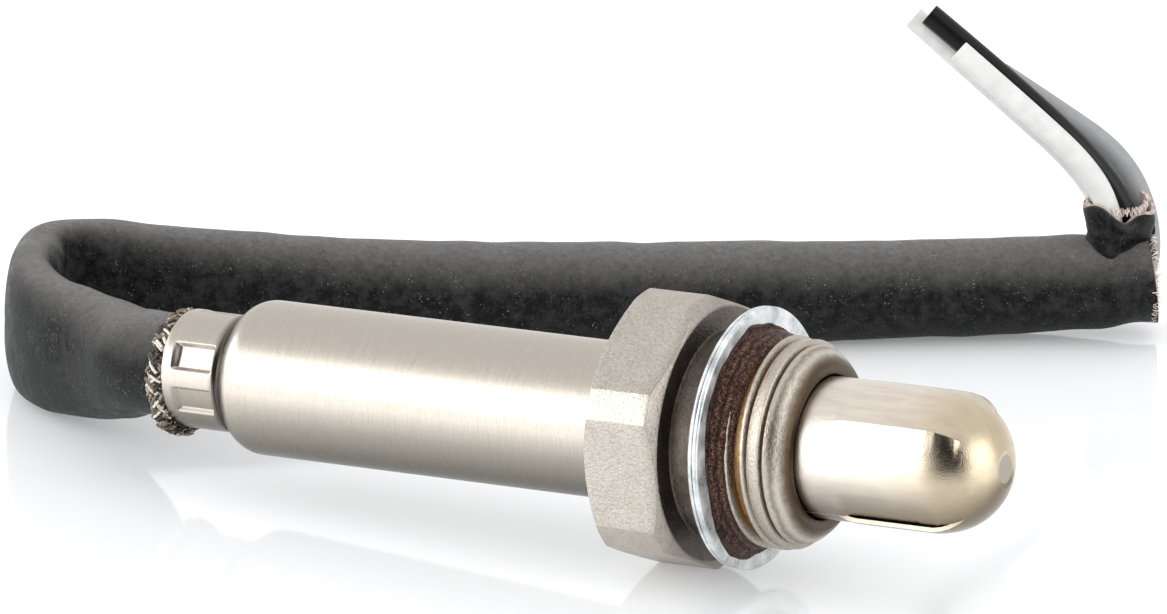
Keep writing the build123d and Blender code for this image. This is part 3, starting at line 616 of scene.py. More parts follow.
# bare drawn copper: bright salmon wire with browner, tarnished patches
copper, tree, shader = new_finish("drawn_copper_strand", Metallic=1.0, Roughness=0.34)
millimetres = plain_millimetres(tree)
tarnish = add(tree, "ShaderNodeTexNoise", {"Vector": millimetres, "Scale": 3.0, "Detail": 4})
tone = add(tree, "ShaderNodeMix", {0: tarnish, 6: linear("#8E4B27"), 7: linear("#E2965C")}, data_type="RGBA")
feed(tree, shader, {"Base Color": tone.outputs[2]})

# 19 strands lie in each core: one, then rings of 6 and 12
wire_sides, strand_count, strand_step = 24, 19, 0.245
# the wires lie two by two, and one above the other where the sleeve is folded flat
stacked = np.array([0, 0.5, 1, 1, 1, 0.8, 0, 0, 0])
stack_height = {"white_wire_1": 2.85, "white_wire_2": 0.95, "black_wire": -0.95, "grey_wire": -2.85}
for name, (side, height) in wire_quadrants.items():
    start = lay(
        [(-41.3, side * wire_pitch, height * wire_pitch), (-52.4, side * wire_pitch, height * wire_pitch)]
    ) / MM
    aside = -side * (wire_spread + (0.45 - wire_spread) * stacked)
    above = height * wire_spread + (stack_height[name] - height * wire_spread) * stacked
    route = [tuple(p) for p in start] + beside(sleeve_route[1:-1], aside, above) + wire_ends[name]
    line = centre_line(name, route)
    wire, points, heading, sides, overs = tube(
        name + "_insulation", line, wire_radius * MM, 0.5 * MM, wire_sides, caps=(0,)
    )
    # cut end: a flat ring of insulation round the strands
    turn = np.linspace(0, 2 * math.pi, wire_sides, endpoint=False)
    swing = np.cos(turn)[:, None] * sides[-1] + np.sin(turn)[:, None] * overs[-1]
    profile = ((wire_radius, 0), (0.98, 0.04), (0.66, 0.03), (core_radius, -0.05), (core_radius, -1.2))
    lip_rings = np.stack([points[-1] + swing * r * MM + heading[-1] * d * MM for r, d in profile])
    lip = skin(name + "_cut", lip_rings, caps=(-1,))
    strands = []
    for i in range(strand_count):
        ring, k = (0, 0) if i == 0 else ((1, i - 1) if i < 7 else (2, i - 7))
        angle = k * math.pi / 3 if ring == 1 else k * math.pi / 6 + 0.26
        out = strand_step * ring
        foot = points[-1] + (sides[-1] * math.cos(angle) + overs[-1] * math.sin(angle)) * out * MM
        tip = -0.06 + 0.06 * math.sin(i * 2.4)
        rod_line = np.array([foot - heading[-1] * 1.1 * MM, foot + heading[-1] * tip * MM])
        strand, *_ = tube("strand", rod_line, strand_radius * MM, 0.6 * MM, 8, caps=(0, -1))
        strands.append(strand)
    for group, into in (([wire, lip], wire), (strands, strands[0])):
        with bpy.context.temp_override(active_object=into, selected_editable_objects=group):
            bpy.ops.object.join()
    welded(wire.data, 1e-6)
    settled(wire, 50)
    wire.data.materials.append(wire_finish[name])
    cores = settled(strands[0], 50)
    cores.name = name + "_strands"
    cores.data.materials.append(copper)
    for piece in (wire, cores):
        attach(piece, "root")
    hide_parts(name)


# ---- Shell -------------------------------------------------------------------------------------
# The body: a turned steel shell with a 22 mm hexagon, its corners turned off round, a plain collar
# and a nose rolled in round the tube. It is grit-blasted after plating, so it has a fine sandy grain.
def radial(x, radius, angle):
    """Points at stations x and radii round the shank; angles in radians from +Y towards up."""
    x, radius, angle = np.broadcast_arrays(x, radius, angle)
    return lay(np.stack([x, radius * np.cos(angle), radius * np.sin(angle)], -1))


flat_r, corner_r, face_r, rear_x, hexagon_roll = 11.0, 12.01, 10.8, -7, 5.84
flat_half = math.degrees(math.acos(flat_r / corner_r))
hexagon_angles, hexagon_radii = [], []
for k in range(6):
    centre = hexagon_roll + 60 * k
    for a in np.linspace(-flat_half, flat_half, 24, endpoint=False):
        hexagon_angles.append(centre + a)
        hexagon_radii.append(flat_r / math.cos(math.radians(a)))
    for a in np.linspace(flat_half, 60 - flat_half, 10, endpoint=False):
        hexagon_angles.append(centre + a)
        hexagon_radii.append(corner_r)
hexagon_angles, hexagon_radii = np.radians(hexagon_angles), np.array(hexagon_radii)
chamfer_run = (hexagon_radii - face_r) * math.tan(math.radians(30))
# from the rear face, over the hexagon, collar and shank, to the nose rolled in on the tube, and back inside
nose_turn = np.linspace(0, 1, 14)
nose_x = 8.65 + 1.62 * nose_turn
nose_r = 8.45 - 1.25 * nose_turn + 0.26 * 4 * nose_turn * (1 - nose_turn)
lip_turn = np.linspace(0.15, 1.0, 7) * math.pi
hexagon_rows = [
    (rear_x + chamfer_run, 0), (rear_x + chamfer_run, 0.35), (-chamfer_run, -0.35), (-chamfer_run, 0),
]
outline = [(rear_x, 6.75), (rear_x, 7.1), (rear_x, 10.5), (rear_x, face_r), *hexagon_rows]
outline += [(0, face_r), (0, 10.55), (0, 9.05), (0.06, 8.86), (0.25, 8.8), (3.95, 8.8), (4.0, 8.04)]
outline += [(7.1, 8.04), (7.28, 8.74), (8.3, 8.84), (8.38, 8.7), (8.43, 8.14), (8.58, 8.12), (8.62, 8.4)]
outline += list(zip(nose_x, nose_r))
outline += [(10.27 + 0.20 * math.sin(a), 6.64 + 0.52 * math.cos(a)) for a in lip_turn]
outline += [(9.9, 6.12), (9.3, 6.6), (1.3, 6.6), (1.3, 7.6), (-6.2, 7.6), (-6.2, 6.75)]
rings = []
for x, r in outline:
    if np.ndim(x):
        rings.append(radial(x + r, hexagon_radii, hexagon_angles))
    else:
        rings.append(radial(x, r, hexagon_angles))
shell = skin("sensor_shell_body", np.array(rings), wrap_rows=True)
edge = shell.modifiers.new("edges", "BEVEL")
edge.width, edge.segments, edge.limit_method, edge.angle_limit = 0.10 * MM, 2, "ANGLE", math.radians(20)
settled(shell, 40)


def turned_millimetres(tree):
    """Object coordinates centred on the shank and turned with it, in mm."""
    place = add(tree, "ShaderNodeTexCoord").outputs["Object"]
    values = {
        "Vector": place, "Location": tuple(shank_origin * MM), "Rotation": (0, -lean, 0), "Scale": (MM, MM, MM)
    }
    return add(tree, "ShaderNodeMapping", values, vector_type="TEXTURE")


def off_axis(tree, turned):
    """Station along the shank and radius from its axis, in mm."""
    parts = add(tree, "ShaderNodeSeparateXYZ", {0: turned})
    flat = add(tree, "ShaderNodeCombineXYZ", {1: parts.outputs[1], 2: parts.outputs[2]})
    return parts.outputs[0], add(tree, "ShaderNodeVectorMath", {0: flat}, operation="LENGTH").outputs["Value"]


def under_side(tree, turned, first, last, most):
    """How far a spot faces down round the shank, for painted shade that is heaviest underneath."""
    parts = add(tree, "ShaderNodeSeparateXYZ", {0: turned})
    flat = add(tree, "ShaderNodeCombineXYZ", {1: parts.outputs[1], 2: parts.outputs[2]})
    outward = add(tree, "ShaderNodeVectorMath", {0: flat}, operation="NORMALIZE")
    height = add(tree, "ShaderNodeSeparateXYZ", {0: outward})
    span = {"Value": height.outputs[2], "From Min": first, "From Max": last, "To Min": 0.0, "To Max": most}
    return add(tree, "ShaderNodeMapRange", span)


# grit-blasted nickel plate: warm grey metal with a sandy grain that spreads each highlight
blasted, tree, shader = new_finish("nickel_plated_steel_grit_blasted", Metallic=1.0)
turned = turned_millimetres(tree)
tone_noise = add(tree, "ShaderNodeTexNoise", {"Vector": turned, "Scale": 0.45, "Detail": 6, "Roughness": 0.65})
tone = add(tree, "ShaderNodeMix", {0: tone_noise, 6: linear("#B0A89E"), 7: linear("#CFC8BF")}, data_type="RGBA")
# grit leaves dents of about 0.2 mm; the bottom of each is darkened with painted shade
sand = add(tree, "ShaderNodeTexNoise", {"Vector": turned, "Scale": 4.2, "Detail": 3, "Roughness": 0.6})
pit_shade = add(
    tree, "ShaderNodeMapRange",
    {"Value": sand, "From Min": 0.35, "From Max": 0.55, "To Min": 0.30, "To Max": 0.0},
)
pit_shaded = add(tree, "ShaderNodeMix", {0: pit_shade, 6: tone.outputs[2], 7: linear("#6E655A")}, data_type="RGBA")
# old grease keeps to the roots of the thread and turns them brown-gold
station, radius = off_axis(tree, turned)
in_root = add(
    tree, "ShaderNodeMapRange",
    {"Value": radius, "From Min": 8.2, "From Max": 8.85, "To Min": 0.9, "To Max": 0.0},
)
on_thread = add(
    tree, "ShaderNodeMapRange",
    {"Value": station, "From Min": 7.9, "From Max": 8.5, "To Min": 1.0, "To Max": 0.35},
)
before_nose = add(tree, "ShaderNodeMath", {0: station, 1: 8.62}, operation="LESS_THAN")
ahead_collar = add(tree, "ShaderNodeMath", {0: station, 1: 3.6}, operation="GREATER_THAN")
stain = in_root
for share in (on_thread, before_nose, ahead_collar):
    stain = add(tree, "ShaderNodeMath", {0: stain, 1: share}, operation="MULTIPLY")
rust_noise = add(tree, "ShaderNodeTexNoise", {"Vector": turned, "Scale": 0.8, "Detail": 5, "Roughness": 0.7})
rust = add(tree, "ShaderNodeMix", {0: rust_noise, 6: linear("#3E2A1C"), 7: linear("#C79A5B")}, data_type="RGBA")
stained = add(tree, "ShaderNodeMix", {0: stain, 6: pit_shaded.outputs[2], 7: rust.outputs[2]}, data_type="RGBA")
# the nose is heat-tinted towards straw and brown, with painted light and dark reflection bands along it; its
# rolled lip is darkest, with painted shade
hot = add(
    tree, "ShaderNodeMapRange",
    {"Value": station, "From Min": 8.4, "From Max": 9.0, "To Min": 0.0, "To Max": 0.8},
)
band_noise = add(tree, "ShaderNodeTexNoise", {"Vector": turned, "Scale": 1.3, "Detail": 6, "Roughness": 0.7})
wander = add(tree, "ShaderNodeMapRange", {"Value": band_noise, "To Min": -0.35, "To Max": 0.35})
band_at = add(tree, "ShaderNodeMath", {0: station, 1: wander}, operation="ADD")
band_at = add(tree, "ShaderNodeMapRange", {"Value": band_at, "From Min": 8.5, "From Max": 10.5})
heat_tint_and_reflection_bands = add(tree, "ShaderNodeValToRGB", {0: band_at})
set_stops(heat_tint_and_reflection_bands, (
    (0.0, "#A1988A"), (0.2, "#CFC6BA"), (0.36, "#8C8171"), (0.6, "#E3DBD0"), (0.84, "#7C6F5D"),
    (1.0, "#5E5140"),
))
tinted_and_banded = add(tree, "ShaderNodeMix", {0: hot, 6: stained.outputs[2], 7: heat_tint_and_reflection_bands}, data_type="RGBA")
# painted shade: a dark brown ring round the rolled lip
at_lip = add(
    tree, "ShaderNodeMapRange",
    {"Value": radius, "From Min": 7.1, "From Max": 8.05, "To Min": 0.92, "To Max": 0.0},
)
lip_only = add(tree, "ShaderNodeMath", {0: station, 1: 8.6}, operation="GREATER_THAN")
at_lip = add(tree, "ShaderNodeMath", {0: at_lip, 1: lip_only}, operation="MULTIPLY")
lip_shaded = add(tree, "ShaderNodeMix", {0: at_lip, 6: tinted_and_banded.outputs[2], 7: linear("#4E3F2F")}, data_type="RGBA")
# painted shade: the deep groove between the hexagon and the gasket is darkened to brown, off the flats
behind = add(tree, "ShaderNodeMapRange", {"Value": station, "From Min": -1.3, "From Max": 0.05})
ahead = add(
    tree, "ShaderNodeMapRange",
    {"Value": station, "From Min": 3.2, "From Max": 3.9, "To Min": 1.0, "To Max": 0.0},
)
off_flats = add(
    tree, "ShaderNodeMapRange",
    {"Value": radius, "From Min": 10.7, "From Max": 10.95, "To Min": 1.0, "To Max": 0.35},
)
recess_shade_noise = add(
    tree, "ShaderNodeMapRange",
    {"Value": tone_noise, "From Min": 0.3, "From Max": 0.7, "To Min": 0.95, "To Max": 0.78},
)
recess_shade = behind
for share in (ahead, off_flats, recess_shade_noise):
    recess_shade = add(tree, "ShaderNodeMath", {0: recess_shade, 1: share}, operation="MULTIPLY")
finished = add(tree, "ShaderNodeMix", {0: recess_shade, 6: lip_shaded.outputs[2], 7: linear("#41372D")}, data_type="RGBA")
sand_bump = add(tree, "ShaderNodeBump", {"Height": sand, "Strength": 0.8, "Distance": 0.00009})
rough = add(tree, "ShaderNodeMapRange", {"Value": sand, "To Min": 0.26, "To Max": 0.42})
feed(tree, shader, {"Base Color": finished.outputs[2], "Roughness": rough, "Normal": sand_bump})
shell.data.materials.append(blasted)
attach(shell, "root")
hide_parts("sensor_shell")


# ---- Shank thread ------------------------------------------------------------------------------
# An M18 x 1.5 right-hand thread rolled on the shank, with a short lead-in at the nose.
thread_tree = bpy.data.node_groups.new("rolled_thread", "GeometryNodeTree")
for name in ("Major", "Minor", "Pitch", "Start", "End", "Lead-in"):
    thread_tree.interface.new_socket(name, in_out="INPUT", socket_type="NodeSocketFloat")
thread_tree.interface.new_socket("Material", in_out="INPUT", socket_type="NodeSocketMaterial")
thread_tree.interface.new_socket("Geometry", in_out="OUTPUT", socket_type="NodeSocketGeometry")
given = add(thread_tree, "NodeGroupInput").outputs
# a sheet is wound up: s runs along the shank and back inside it, and the other way goes round
sheet = add(
    thread_tree, "GeometryNodeMeshGrid", {"Size X": 1.0, "Size Y": 1.0, "Vertices X": 151, "Vertices Y": 361}
)
spot = add(thread_tree, "ShaderNodeSeparateXYZ", {0: add(thread_tree, "GeometryNodeInputPosition")})
s = add(thread_tree, "ShaderNodeMath", {0: spot.outputs[0], 1: 0.5}, operation="ADD")
turn = add(thread_tree, "ShaderNodeMath", {0: spot.outputs[1], 1: 0.5}, operation="ADD")
out_x = add(thread_tree, "ShaderNodeMapRange", {0: s, 1: 0.004, 2: 0.95, 3: given["Start"], 4: given["End"]})
back_x = add(thread_tree, "ShaderNodeMapRange", {0: s, 1: 0.958, 2: 1.0, 3: given["End"], 4: given["Start"]})
inner = add(thread_tree, "ShaderNodeMath", {0: s, 1: 0.953}, operation="GREATER_THAN")
first_row = add(thread_tree, "ShaderNodeMath", {0: s, 1: 0.002}, operation="LESS_THAN")
x_at = add(thread_tree, "ShaderNodeMix", {0: inner, 2: out_x, 3: back_x})
advance = add(thread_tree, "ShaderNodeMath", {0: x_at, 1: given["Pitch"]}, operation="DIVIDE")
phase = add(thread_tree, "ShaderNodeMath", {0: advance, 1: turn}, operation="SUBTRACT")
crest_at, thread_pitch = 1.72, 1.5
phase = add(thread_tree, "ShaderNodeMath", {0: phase, 1: 0.5 - crest_at / thread_pitch}, operation="ADD")
phase = add(thread_tree, "ShaderNodeMath", {0: phase}, operation="FRACT")
swing = add(thread_tree, "ShaderNodeMath", {0: phase, 1: 0.5}, operation="SUBTRACT")
swing = add(thread_tree, "ShaderNodeMath", {0: swing}, operation="ABSOLUTE")
thread_r = add(
    thread_tree, "ShaderNodeMapRange", {0: swing, 1: 0.08, 2: 0.26, 3: given["Major"], 4: given["Minor"]}
)
left_x = add(thread_tree, "ShaderNodeMath", {0: given["End"], 1: x_at}, operation="SUBTRACT")
lead = add(
    thread_tree, "ShaderNodeMapRange",
    {0: left_x, 1: 0.0, 2: given["Lead-in"], 3: given["Minor"], 4: given["Major"]},
)
thread_r = add(thread_tree, "ShaderNodeMath", {0: thread_r, 1: lead}, operation="MINIMUM")
under = add(thread_tree, "ShaderNodeMath", {0: inner, 1: first_row}, operation="MAXIMUM")
bore_r = add(thread_tree, "ShaderNodeMath", {0: given["Minor"], 1: 0.12 * MM}, operation="SUBTRACT")
radius = add(thread_tree, "ShaderNodeMix", {0: under, 2: thread_r, 3: bore_r})
whole = add(thread_tree, "ShaderNodeMath", {0: turn, 1: 2 * math.pi}, operation="MULTIPLY")
cosine = add(thread_tree, "ShaderNodeMath", {0: whole}, operation="COSINE")
sine = add(thread_tree, "ShaderNodeMath", {0: whole}, operation="SINE")
y = add(thread_tree, "ShaderNodeMath", {0: radius, 1: cosine}, operation="MULTIPLY")
z = add(thread_tree, "ShaderNodeMath", {0: radius, 1: sine}, operation="MULTIPLY")
wound = add(thread_tree, "ShaderNodeCombineXYZ", {0: x_at, 1: y, 2: z})
rolled = add(thread_tree, "GeometryNodeSetPosition", {"Geometry": sheet.outputs[0], "Position": wound})
one_skin = add(thread_tree, "GeometryNodeMergeByDistance", {"Geometry": rolled, "Distance": 0.002 * MM})
to_shank = {"Geometry": one_skin, "Translation": tuple(shank_origin * MM), "Rotation": (0, -lean, 0)}
placed = add(thread_tree, "GeometryNodeTransform", to_shank)
real = add(thread_tree, "GeometryNodeRealizeInstances", {0: placed})
painted = add(thread_tree, "GeometryNodeSetMaterial", {"Geometry": real, "Material": given["Material"]})
add(thread_tree, "NodeGroupOutput", {0: painted})
thread = grown("shank_thread_rolled", thread_tree, {
    "Major": 9.0 * MM, "Minor": 8.12 * MM, "Pitch": thread_pitch * MM, "Start": 4.0 * MM, "End": 7.8 * MM,
    "Lead-in": 0.3 * MM, "Material": blasted,
})
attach(thread, "root")


# ---- Gasket ------------------------------------------------------------------------------------
# A folded gasket of thin stainless strip: a flat front face, a rolled rim with a seam where the strip is
# folded on itself, and a rear side that slopes back to the shank.
def arc(x, r, size, first, last, count=7):
    """Outline points on a small arc; angles in degrees from +X towards outwards."""
    return [
        (x + size * math.cos(a), r + size * math.sin(a)) for a in np.radians(np.linspace(first, last, count))
    ]


outline = [
    (2.35, 9.05), (2.3, 9.2), (2.35, 9.6), (2.7, 10.45)
] + arc(3.27, 10.88, 0.25, 170, 60) + [(3.46, 10.86)]
outline += arc(3.64, 10.87, 0.26, 120, 0) + [(3.9, 10.7), (3.9, 10.4), (3.9, 9.4), (3.9, 9.05), (3.45, 9.05)]
outline += [(3.45, 10.4), (3.2, 10.5), (2.85, 9.9), (2.75, 9.05)]
around = np.linspace(0, 2 * math.pi, 200, endpoint=False)
gasket = skin("gasket_ring_folded", np.array([radial(x, r, around) for x, r in outline]), wrap_rows=True)
settled(gasket, 50)
# thin tinned strip, dulled by handling: cool white metal with smeared scuffs
strip, tree, shader = new_finish("tinned_steel_strip_dull", Metallic=0.6)
turned = turned_millimetres(tree)
scuff = add(tree, "ShaderNodeTexNoise", {"Vector": turned, "Scale": 0.5, "Detail": 8, "Roughness": 0.6})
scuff = add(tree, "ShaderNodeMapRange", {"Value": scuff, "From Min": 0.35, "From Max": 0.65})
rough = add(tree, "ShaderNodeMapRange", {"Value": scuff, "To Min": 0.24, "To Max": 0.50})
tone = add(tree, "ShaderNodeMix", {0: scuff, 6: linear("#AFB4B7"), 7: linear("#F4F6F7")}, data_type="RGBA")
ridge_map = add(tree, "ShaderNodeMapping", {"Vector": turned, "Scale": (2.0, 2.0, 2.0)})
ridges = add(tree, "ShaderNodeTexNoise", {"Vector": ridge_map, "Scale": 2.0, "Detail": 4})
ridge_bump = add(tree, "ShaderNodeBump", {"Height": ridges, "Strength": 0.15, "Distance": 0.0001})
feed(tree, shader, {"Base Color": tone.outputs[2], "Roughness": rough, "Normal": ridge_bump})
gasket.data.materials.append(strip)
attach(gasket, "root")
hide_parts("gasket_ring")


# ---- Anti-seize paste --------------------------------------------------------------------------
# Copper-filled grease pressed round the shank in front of the gasket and into the first turns of the
# thread. It has dried in crumbs, with a ragged edge on the gasket's face.
columns = np.linspace(0, 2 * math.pi, 720, endpoint=False)
share = np.linspace(0, 1, 46)[:, None]
ragged = swell(columns * 3.0, columns * 0, 40, ((1, 1), (2.5, 0.8)))
ragged = ragged + 0.5 * swell(columns * 14, columns * 0, 41, ((1, 1), (2.3, 0.7)))
# most of it was daubed on from above, and a clot of it hangs below
top_share = np.clip(np.cos(columns - math.radians(118)), 0, 1) ** 2
top_share = top_share + 1.1 * np.clip(np.cos(columns - math.radians(238)), 0, 1) ** 6
edge_r = 9.32 + 0.22 * ragged + 0.8 * top_share
# up the gasket's face from its edge inwards, over a low roll, then down across the thread
foot_share, foot_r = 0.38, 9.3
x_path = np.interp(
    share, [0, 0.04, 0.3, foot_share, 0.5, 0.72, 0.93, 1.0], [3.88, 3.98, 4.02, 4.12, 4.4, 5.0, 5.75, 5.85]
)
r_at_edge = edge_r[None, :]
r_path = np.interp(
    share, [foot_share, 0.5, 0.62, 0.72, 0.82, 0.93, 1.0], [foot_r, 9.22, 9.10, 9.16, 9.12, 8.72, 8.1]
)
face = np.clip((foot_share - share) / foot_share, 0, 1)
paste_r = np.where(share < foot_share, foot_r + (r_at_edge - foot_r) * face**0.9, r_path)
crumb = swell(share * 26, columns[None, :] * 22, 21, ((1, 1), (2.1, 0.9), (4.2, 0.7)))
clot = swell(share * 7, columns[None, :] * 5, 22, ((1, 1), (2.1, 0.6)))
fade = np.clip(share / 0.06, 0, 1) * np.clip((1 - share) / 0.07, 0, 1)
paste_x = x_path + (0.055 * crumb + 0.10 * clot + 0.06) * fade * (share < 0.42)
paste_r = paste_r + (0.06 * crumb + 0.10 * clot) * fade * (share > 0.3)
inner_wall = radial(np.array([[5.85], [3.88]]), 7.95, columns[None, :])
paste = skin(
    "anti_seize_paste", np.concatenate([radial(paste_x, paste_r, columns[None, :]), inner_wall]), wrap_rows=True
)
settled(paste, None)
# dried paste: dark red-brown crumbs with copper flakes, whose pale pink is partly painted glints
grease, tree, shader = new_finish("copper_anti_seize_paste_dried", Metallic=0.5)
turned = turned_millimetres(tree)
crumbs = add(tree, "ShaderNodeTexNoise", {"Vector": turned, "Scale": 3.4, "Detail": 5, "Roughness": 0.7})
tone = add(tree, "ShaderNodeValToRGB", {0: crumbs})
set_stops(tone, ((0.40, "#20130F"), (0.66, "#8E6252")))
flakes = add(tree, "ShaderNodeTexVoronoi", {"Vector": turned, "Scale": 7.0})
flake = add(
    tree, "ShaderNodeMapRange",
    {"Value": flakes.outputs["Distance"], "From Min": 0.18, "From Max": 0.30, "To Min": 0.95, "To Max": 0.0},
)
flakes_and_glints = add(tree, "ShaderNodeMix", {0: flake, 6: tone, 7: linear("#EDC2A6")}, data_type="RGBA")
station, radius = off_axis(tree, turned)
clots = add(tree, "ShaderNodeTexNoise", {"Vector": turned, "Scale": 0.9, "Detail": 3})
strayed = add(tree, "ShaderNodeMapRange", {"Value": clots, "To Min": -0.45, "To Max": 0.45})
strayed = add(tree, "ShaderNodeMath", {0: station, 1: strayed}, operation="ADD")
# dark drag lines every 0.72 mm, where the paste was turned on with the thread
drag_pitch = 0.72
line_at = add(tree, "ShaderNodeMath", {0: strayed, 1: drag_pitch}, operation="MODULO")
from_line = add(tree, "ShaderNodeMath", {0: line_at, 1: drag_pitch / 2}, operation="SUBTRACT")
from_line = add(tree, "ShaderNodeMath", {0: from_line}, operation="ABSOLUTE")
in_line = add(
    tree, "ShaderNodeMapRange",
    {"Value": from_line, "From Min": 0.02, "From Max": 0.3, "To Min": 0.75, "To Max": 0.0},
)
lined = add(tree, "ShaderNodeMix", {0: in_line, 6: flakes_and_glints.outputs[2], 7: linear("#160D0A")}, data_type="RGBA")
gloss = add(tree, "ShaderNodeMapRange", {"Value": crumbs, "To Min": 0.22, "To Max": 0.5})
lump = add(tree, "ShaderNodeBump", {"Height": crumbs, "Strength": 1.0, "Distance": 0.00035})
feed(tree, shader, {"Base Color": lined.outputs[2], "Roughness": gloss, "Normal": lump})
paste.data.materials.append(grease)
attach(paste, "root")


# ---- Protection tube ---------------------------------------------------------------------------
# A deep-drawn stainless tube over the sensing element. Four louvres are lanced in it: behind each slit
# the skin is pressed in flat and ahead of it a hood is lifted, so exhaust gas enters sideways.
tube_r, dome_x, dome_r = 5.985, 21.3, 5.95
louvre_start, louvre_end, press = 13.4, 24.8, 0.12
flat_span, hood_span = 29.6, 27.0
slits = [49.8 + 90 * k for k in range(4)]
angles, side_of_slit = [], []
for k in range(240):
    for side in ((-1, 1) if k % 60 == 0 else (0,)):
        angles.append(slits[0] + 1.5 * k)
        side_of_slit.append(side)
angles, side_of_slit = np.radians(angles), np.array(side_of_slit)
stations = np.concatenate([[1.3, 3, 6, 9, 12, 12.8], np.arange(13.1, 25.1, 0.12)])
dome_turn = np.linspace(math.asin((25.25 - dome_x) / dome_r), math.acos(1.62 / dome_r), 14)
stations = np.concatenate([stations, dome_x + dome_r * np.sin(dome_turn)])
ball = np.sqrt(np.maximum(dome_r**2 - (stations - dome_x) ** 2, 0))
skin_r = np.where(stations <= dome_x, np.interp(stations, [1.3, dome_x], [6.02, dome_r]), ball)[:, None]
hood_x = [13.2, 13.5, 13.9, 14.4, 15.0, 22.2, 23.0, 23.6, 24.1, 24.5, 24.8]
hood_r = [6.0, 6.05, 6.2, 6.33, 6.38, 6.36, 6.18, 5.90, 5.56, 5.22, 4.81]
hood_line = np.interp(stations, hood_x, hood_r)[:, None]
tube_radius = np.repeat(skin_r, len(angles), axis=1)
for slit in np.radians(slits):
    off = np.degrees(np.angle(np.exp(1j * (angles - slit))))
    crease = np.array([math.cos(math.radians(flat_span)), -math.sin(math.radians(flat_span))]) * tube_r
    pressed = np.array([tube_r - press, 0.0])
    normal = np.array([(pressed - crease)[1], -(pressed - crease)[0]])
    ray = np.stack([np.cos(np.radians(off)), np.sin(np.radians(off))], -1)
    flat_r = crease.dot(normal) / (ray @ normal)
    on_flat = ((off < -0.1) & (off > -flat_span)) | ((abs(off) < 0.1) & (side_of_slit < 0))
    depth = np.clip((stations - louvre_start) / 1.1, 0, 1)[:, None]
    depth = depth * depth * (3 - 2 * depth) * (stations < louvre_end)[:, None]
    flat_now = np.minimum(skin_r, skin_r + (flat_r - tube_r)[None, :] * depth)
    full_flat = np.minimum(skin_r, np.where(depth > 0, flat_r[None, :], np.inf))
    flat_now = np.where(stations[:, None] > dome_x - 0.5, full_flat, flat_now)
    tube_radius = np.where(on_flat[None, :], flat_now, tube_radius)
    on_hood = ((off > 0.1) & (off < hood_span)) | ((abs(off) < 0.1) & (side_of_slit > 0))
    raised = np.clip(1 - off / hood_span, 0, 1)[None, :] ** 1.7
    hood_now = skin_r + np.maximum(hood_line - skin_r, 0) * raised * (stations[:, None] < louvre_end)
    tube_radius = np.where(on_hood[None, :], hood_now, tube_radius)
rings = radial(stations[:, None], tube_radius, angles[None, :])
flange = [radial(x, r, angles) for x, r in ((0.95, 7.5), (0.95, 6.4), (1.05, 6.12))]
tip = [radial(x, r, angles) for x, r in ((27.0, 1.56), (27.0, 1.2), (27.0, 0.5))]
tube_rings = np.concatenate([np.array(flange), rings, np.array(tip)])
tube_piece = skin("protection_tube_louvred", tube_rings, caps=(-1,))
# cut the slits open: drop the strip of faces that joins each pressed flat to its hood
opened = bmesh.new()
opened.from_mesh(tube_piece.data)
opened.faces.ensure_lookup_table()
slit_columns = [c for c in range(len(angles)) if side_of_slit[c] < 0]
dropped = [opened.faces[r * len(angles) + c] for r in range(len(tube_rings) - 1) for c in slit_columns]
bmesh.ops.delete(opened, geom=dropped, context="FACES_ONLY")
opened.to_mesh(tube_piece.data)
opened.free()
welded(tube_piece.data, 2e-6)

# deep-drawn stainless, tinted by heat: a clear mirror that turns from silver to straw towards the tip
drawn, tree, shader = new_finish("deep_drawn_stainless_heat_tinted", Metallic=1.0)
turned = turned_millimetres(tree)
station, radius = off_axis(tree, turned)
along_tube = add(tree, "ShaderNodeMapRange", {"Value": station, "From Min": 8.0, "From Max": 28.0})
tint = add(tree, "ShaderNodeValToRGB", {0: along_tube})
set_stops(tint, ((0.0, "#E9E1DA"), (0.55, "#E6DBCE"), (0.78, "#D2C4AC"), (1.0, "#C9BA9F")))
streak_map = add(tree, "ShaderNodeMapping", {"Vector": turned, "Scale": (0.3, 1.4, 1.4)})
streak = add(tree, "ShaderNodeTexNoise", {"Vector": streak_map, "Scale": 1.0, "Detail": 6, "Roughness": 0.6})
dull = add(
    tree, "ShaderNodeMapRange",
    {"Value": streak, "From Min": 0.35, "From Max": 0.7, "To Min": 0.25, "To Max": 0.0},
)
toned = add(tree, "ShaderNodeMix", {0: dull, 6: tint, 7: linear("#A9977C")}, data_type="RGBA")
# painted shade: the underside is darkened towards khaki brown, in place of the shadowed floor it reflects
under = under_side(tree, turned, -0.08, -0.8, 0.85)
tube_underside_shaded = add(tree, "ShaderNodeMix", {0: under, 6: toned.outputs[2], 7: linear("#6B5F4D")}, data_type="RGBA")
# the flat disc at the very end is coloured plain grey
at_end = add(tree, "ShaderNodeMath", {0: station, 1: 26.97}, operation="GREATER_THAN")
end_disc = add(tree, "ShaderNodeMath", {0: radius, 1: 1.2}, operation="LESS_THAN")
end_disc = add(tree, "ShaderNodeMath", {0: at_end, 1: end_disc}, operation="MULTIPLY")
whole = add(tree, "ShaderNodeMix", {0: end_disc, 6: tube_underside_shaded.outputs[2], 7: linear("#A59C90")}, data_type="RGBA")
# the hot end is a little smoother
etched = add(
    tree, "ShaderNodeMapRange",
    {"Value": station, "From Min": 19.0, "From Max": 23.0, "To Min": 0.0, "To Max": -0.06},
)
rough = add(tree, "ShaderNodeMapRange", {"Value": streak, "To Min": 0.20, "To Max": 0.30})
rough = add(tree, "ShaderNodeMath", {0: rough, 1: etched}, operation="ADD")
fine = add(tree, "ShaderNodeTexNoise", {"Vector": turned, "Scale": 9.0, "Detail": 3})
fine_bump = add(tree, "ShaderNodeBump", {"Height": fine, "Strength": 0.6, "Distance": 0.00004})
feed(tree, shader, {"Base Color": whole.outputs[2], "Roughness": rough, "Normal": fine_bump})

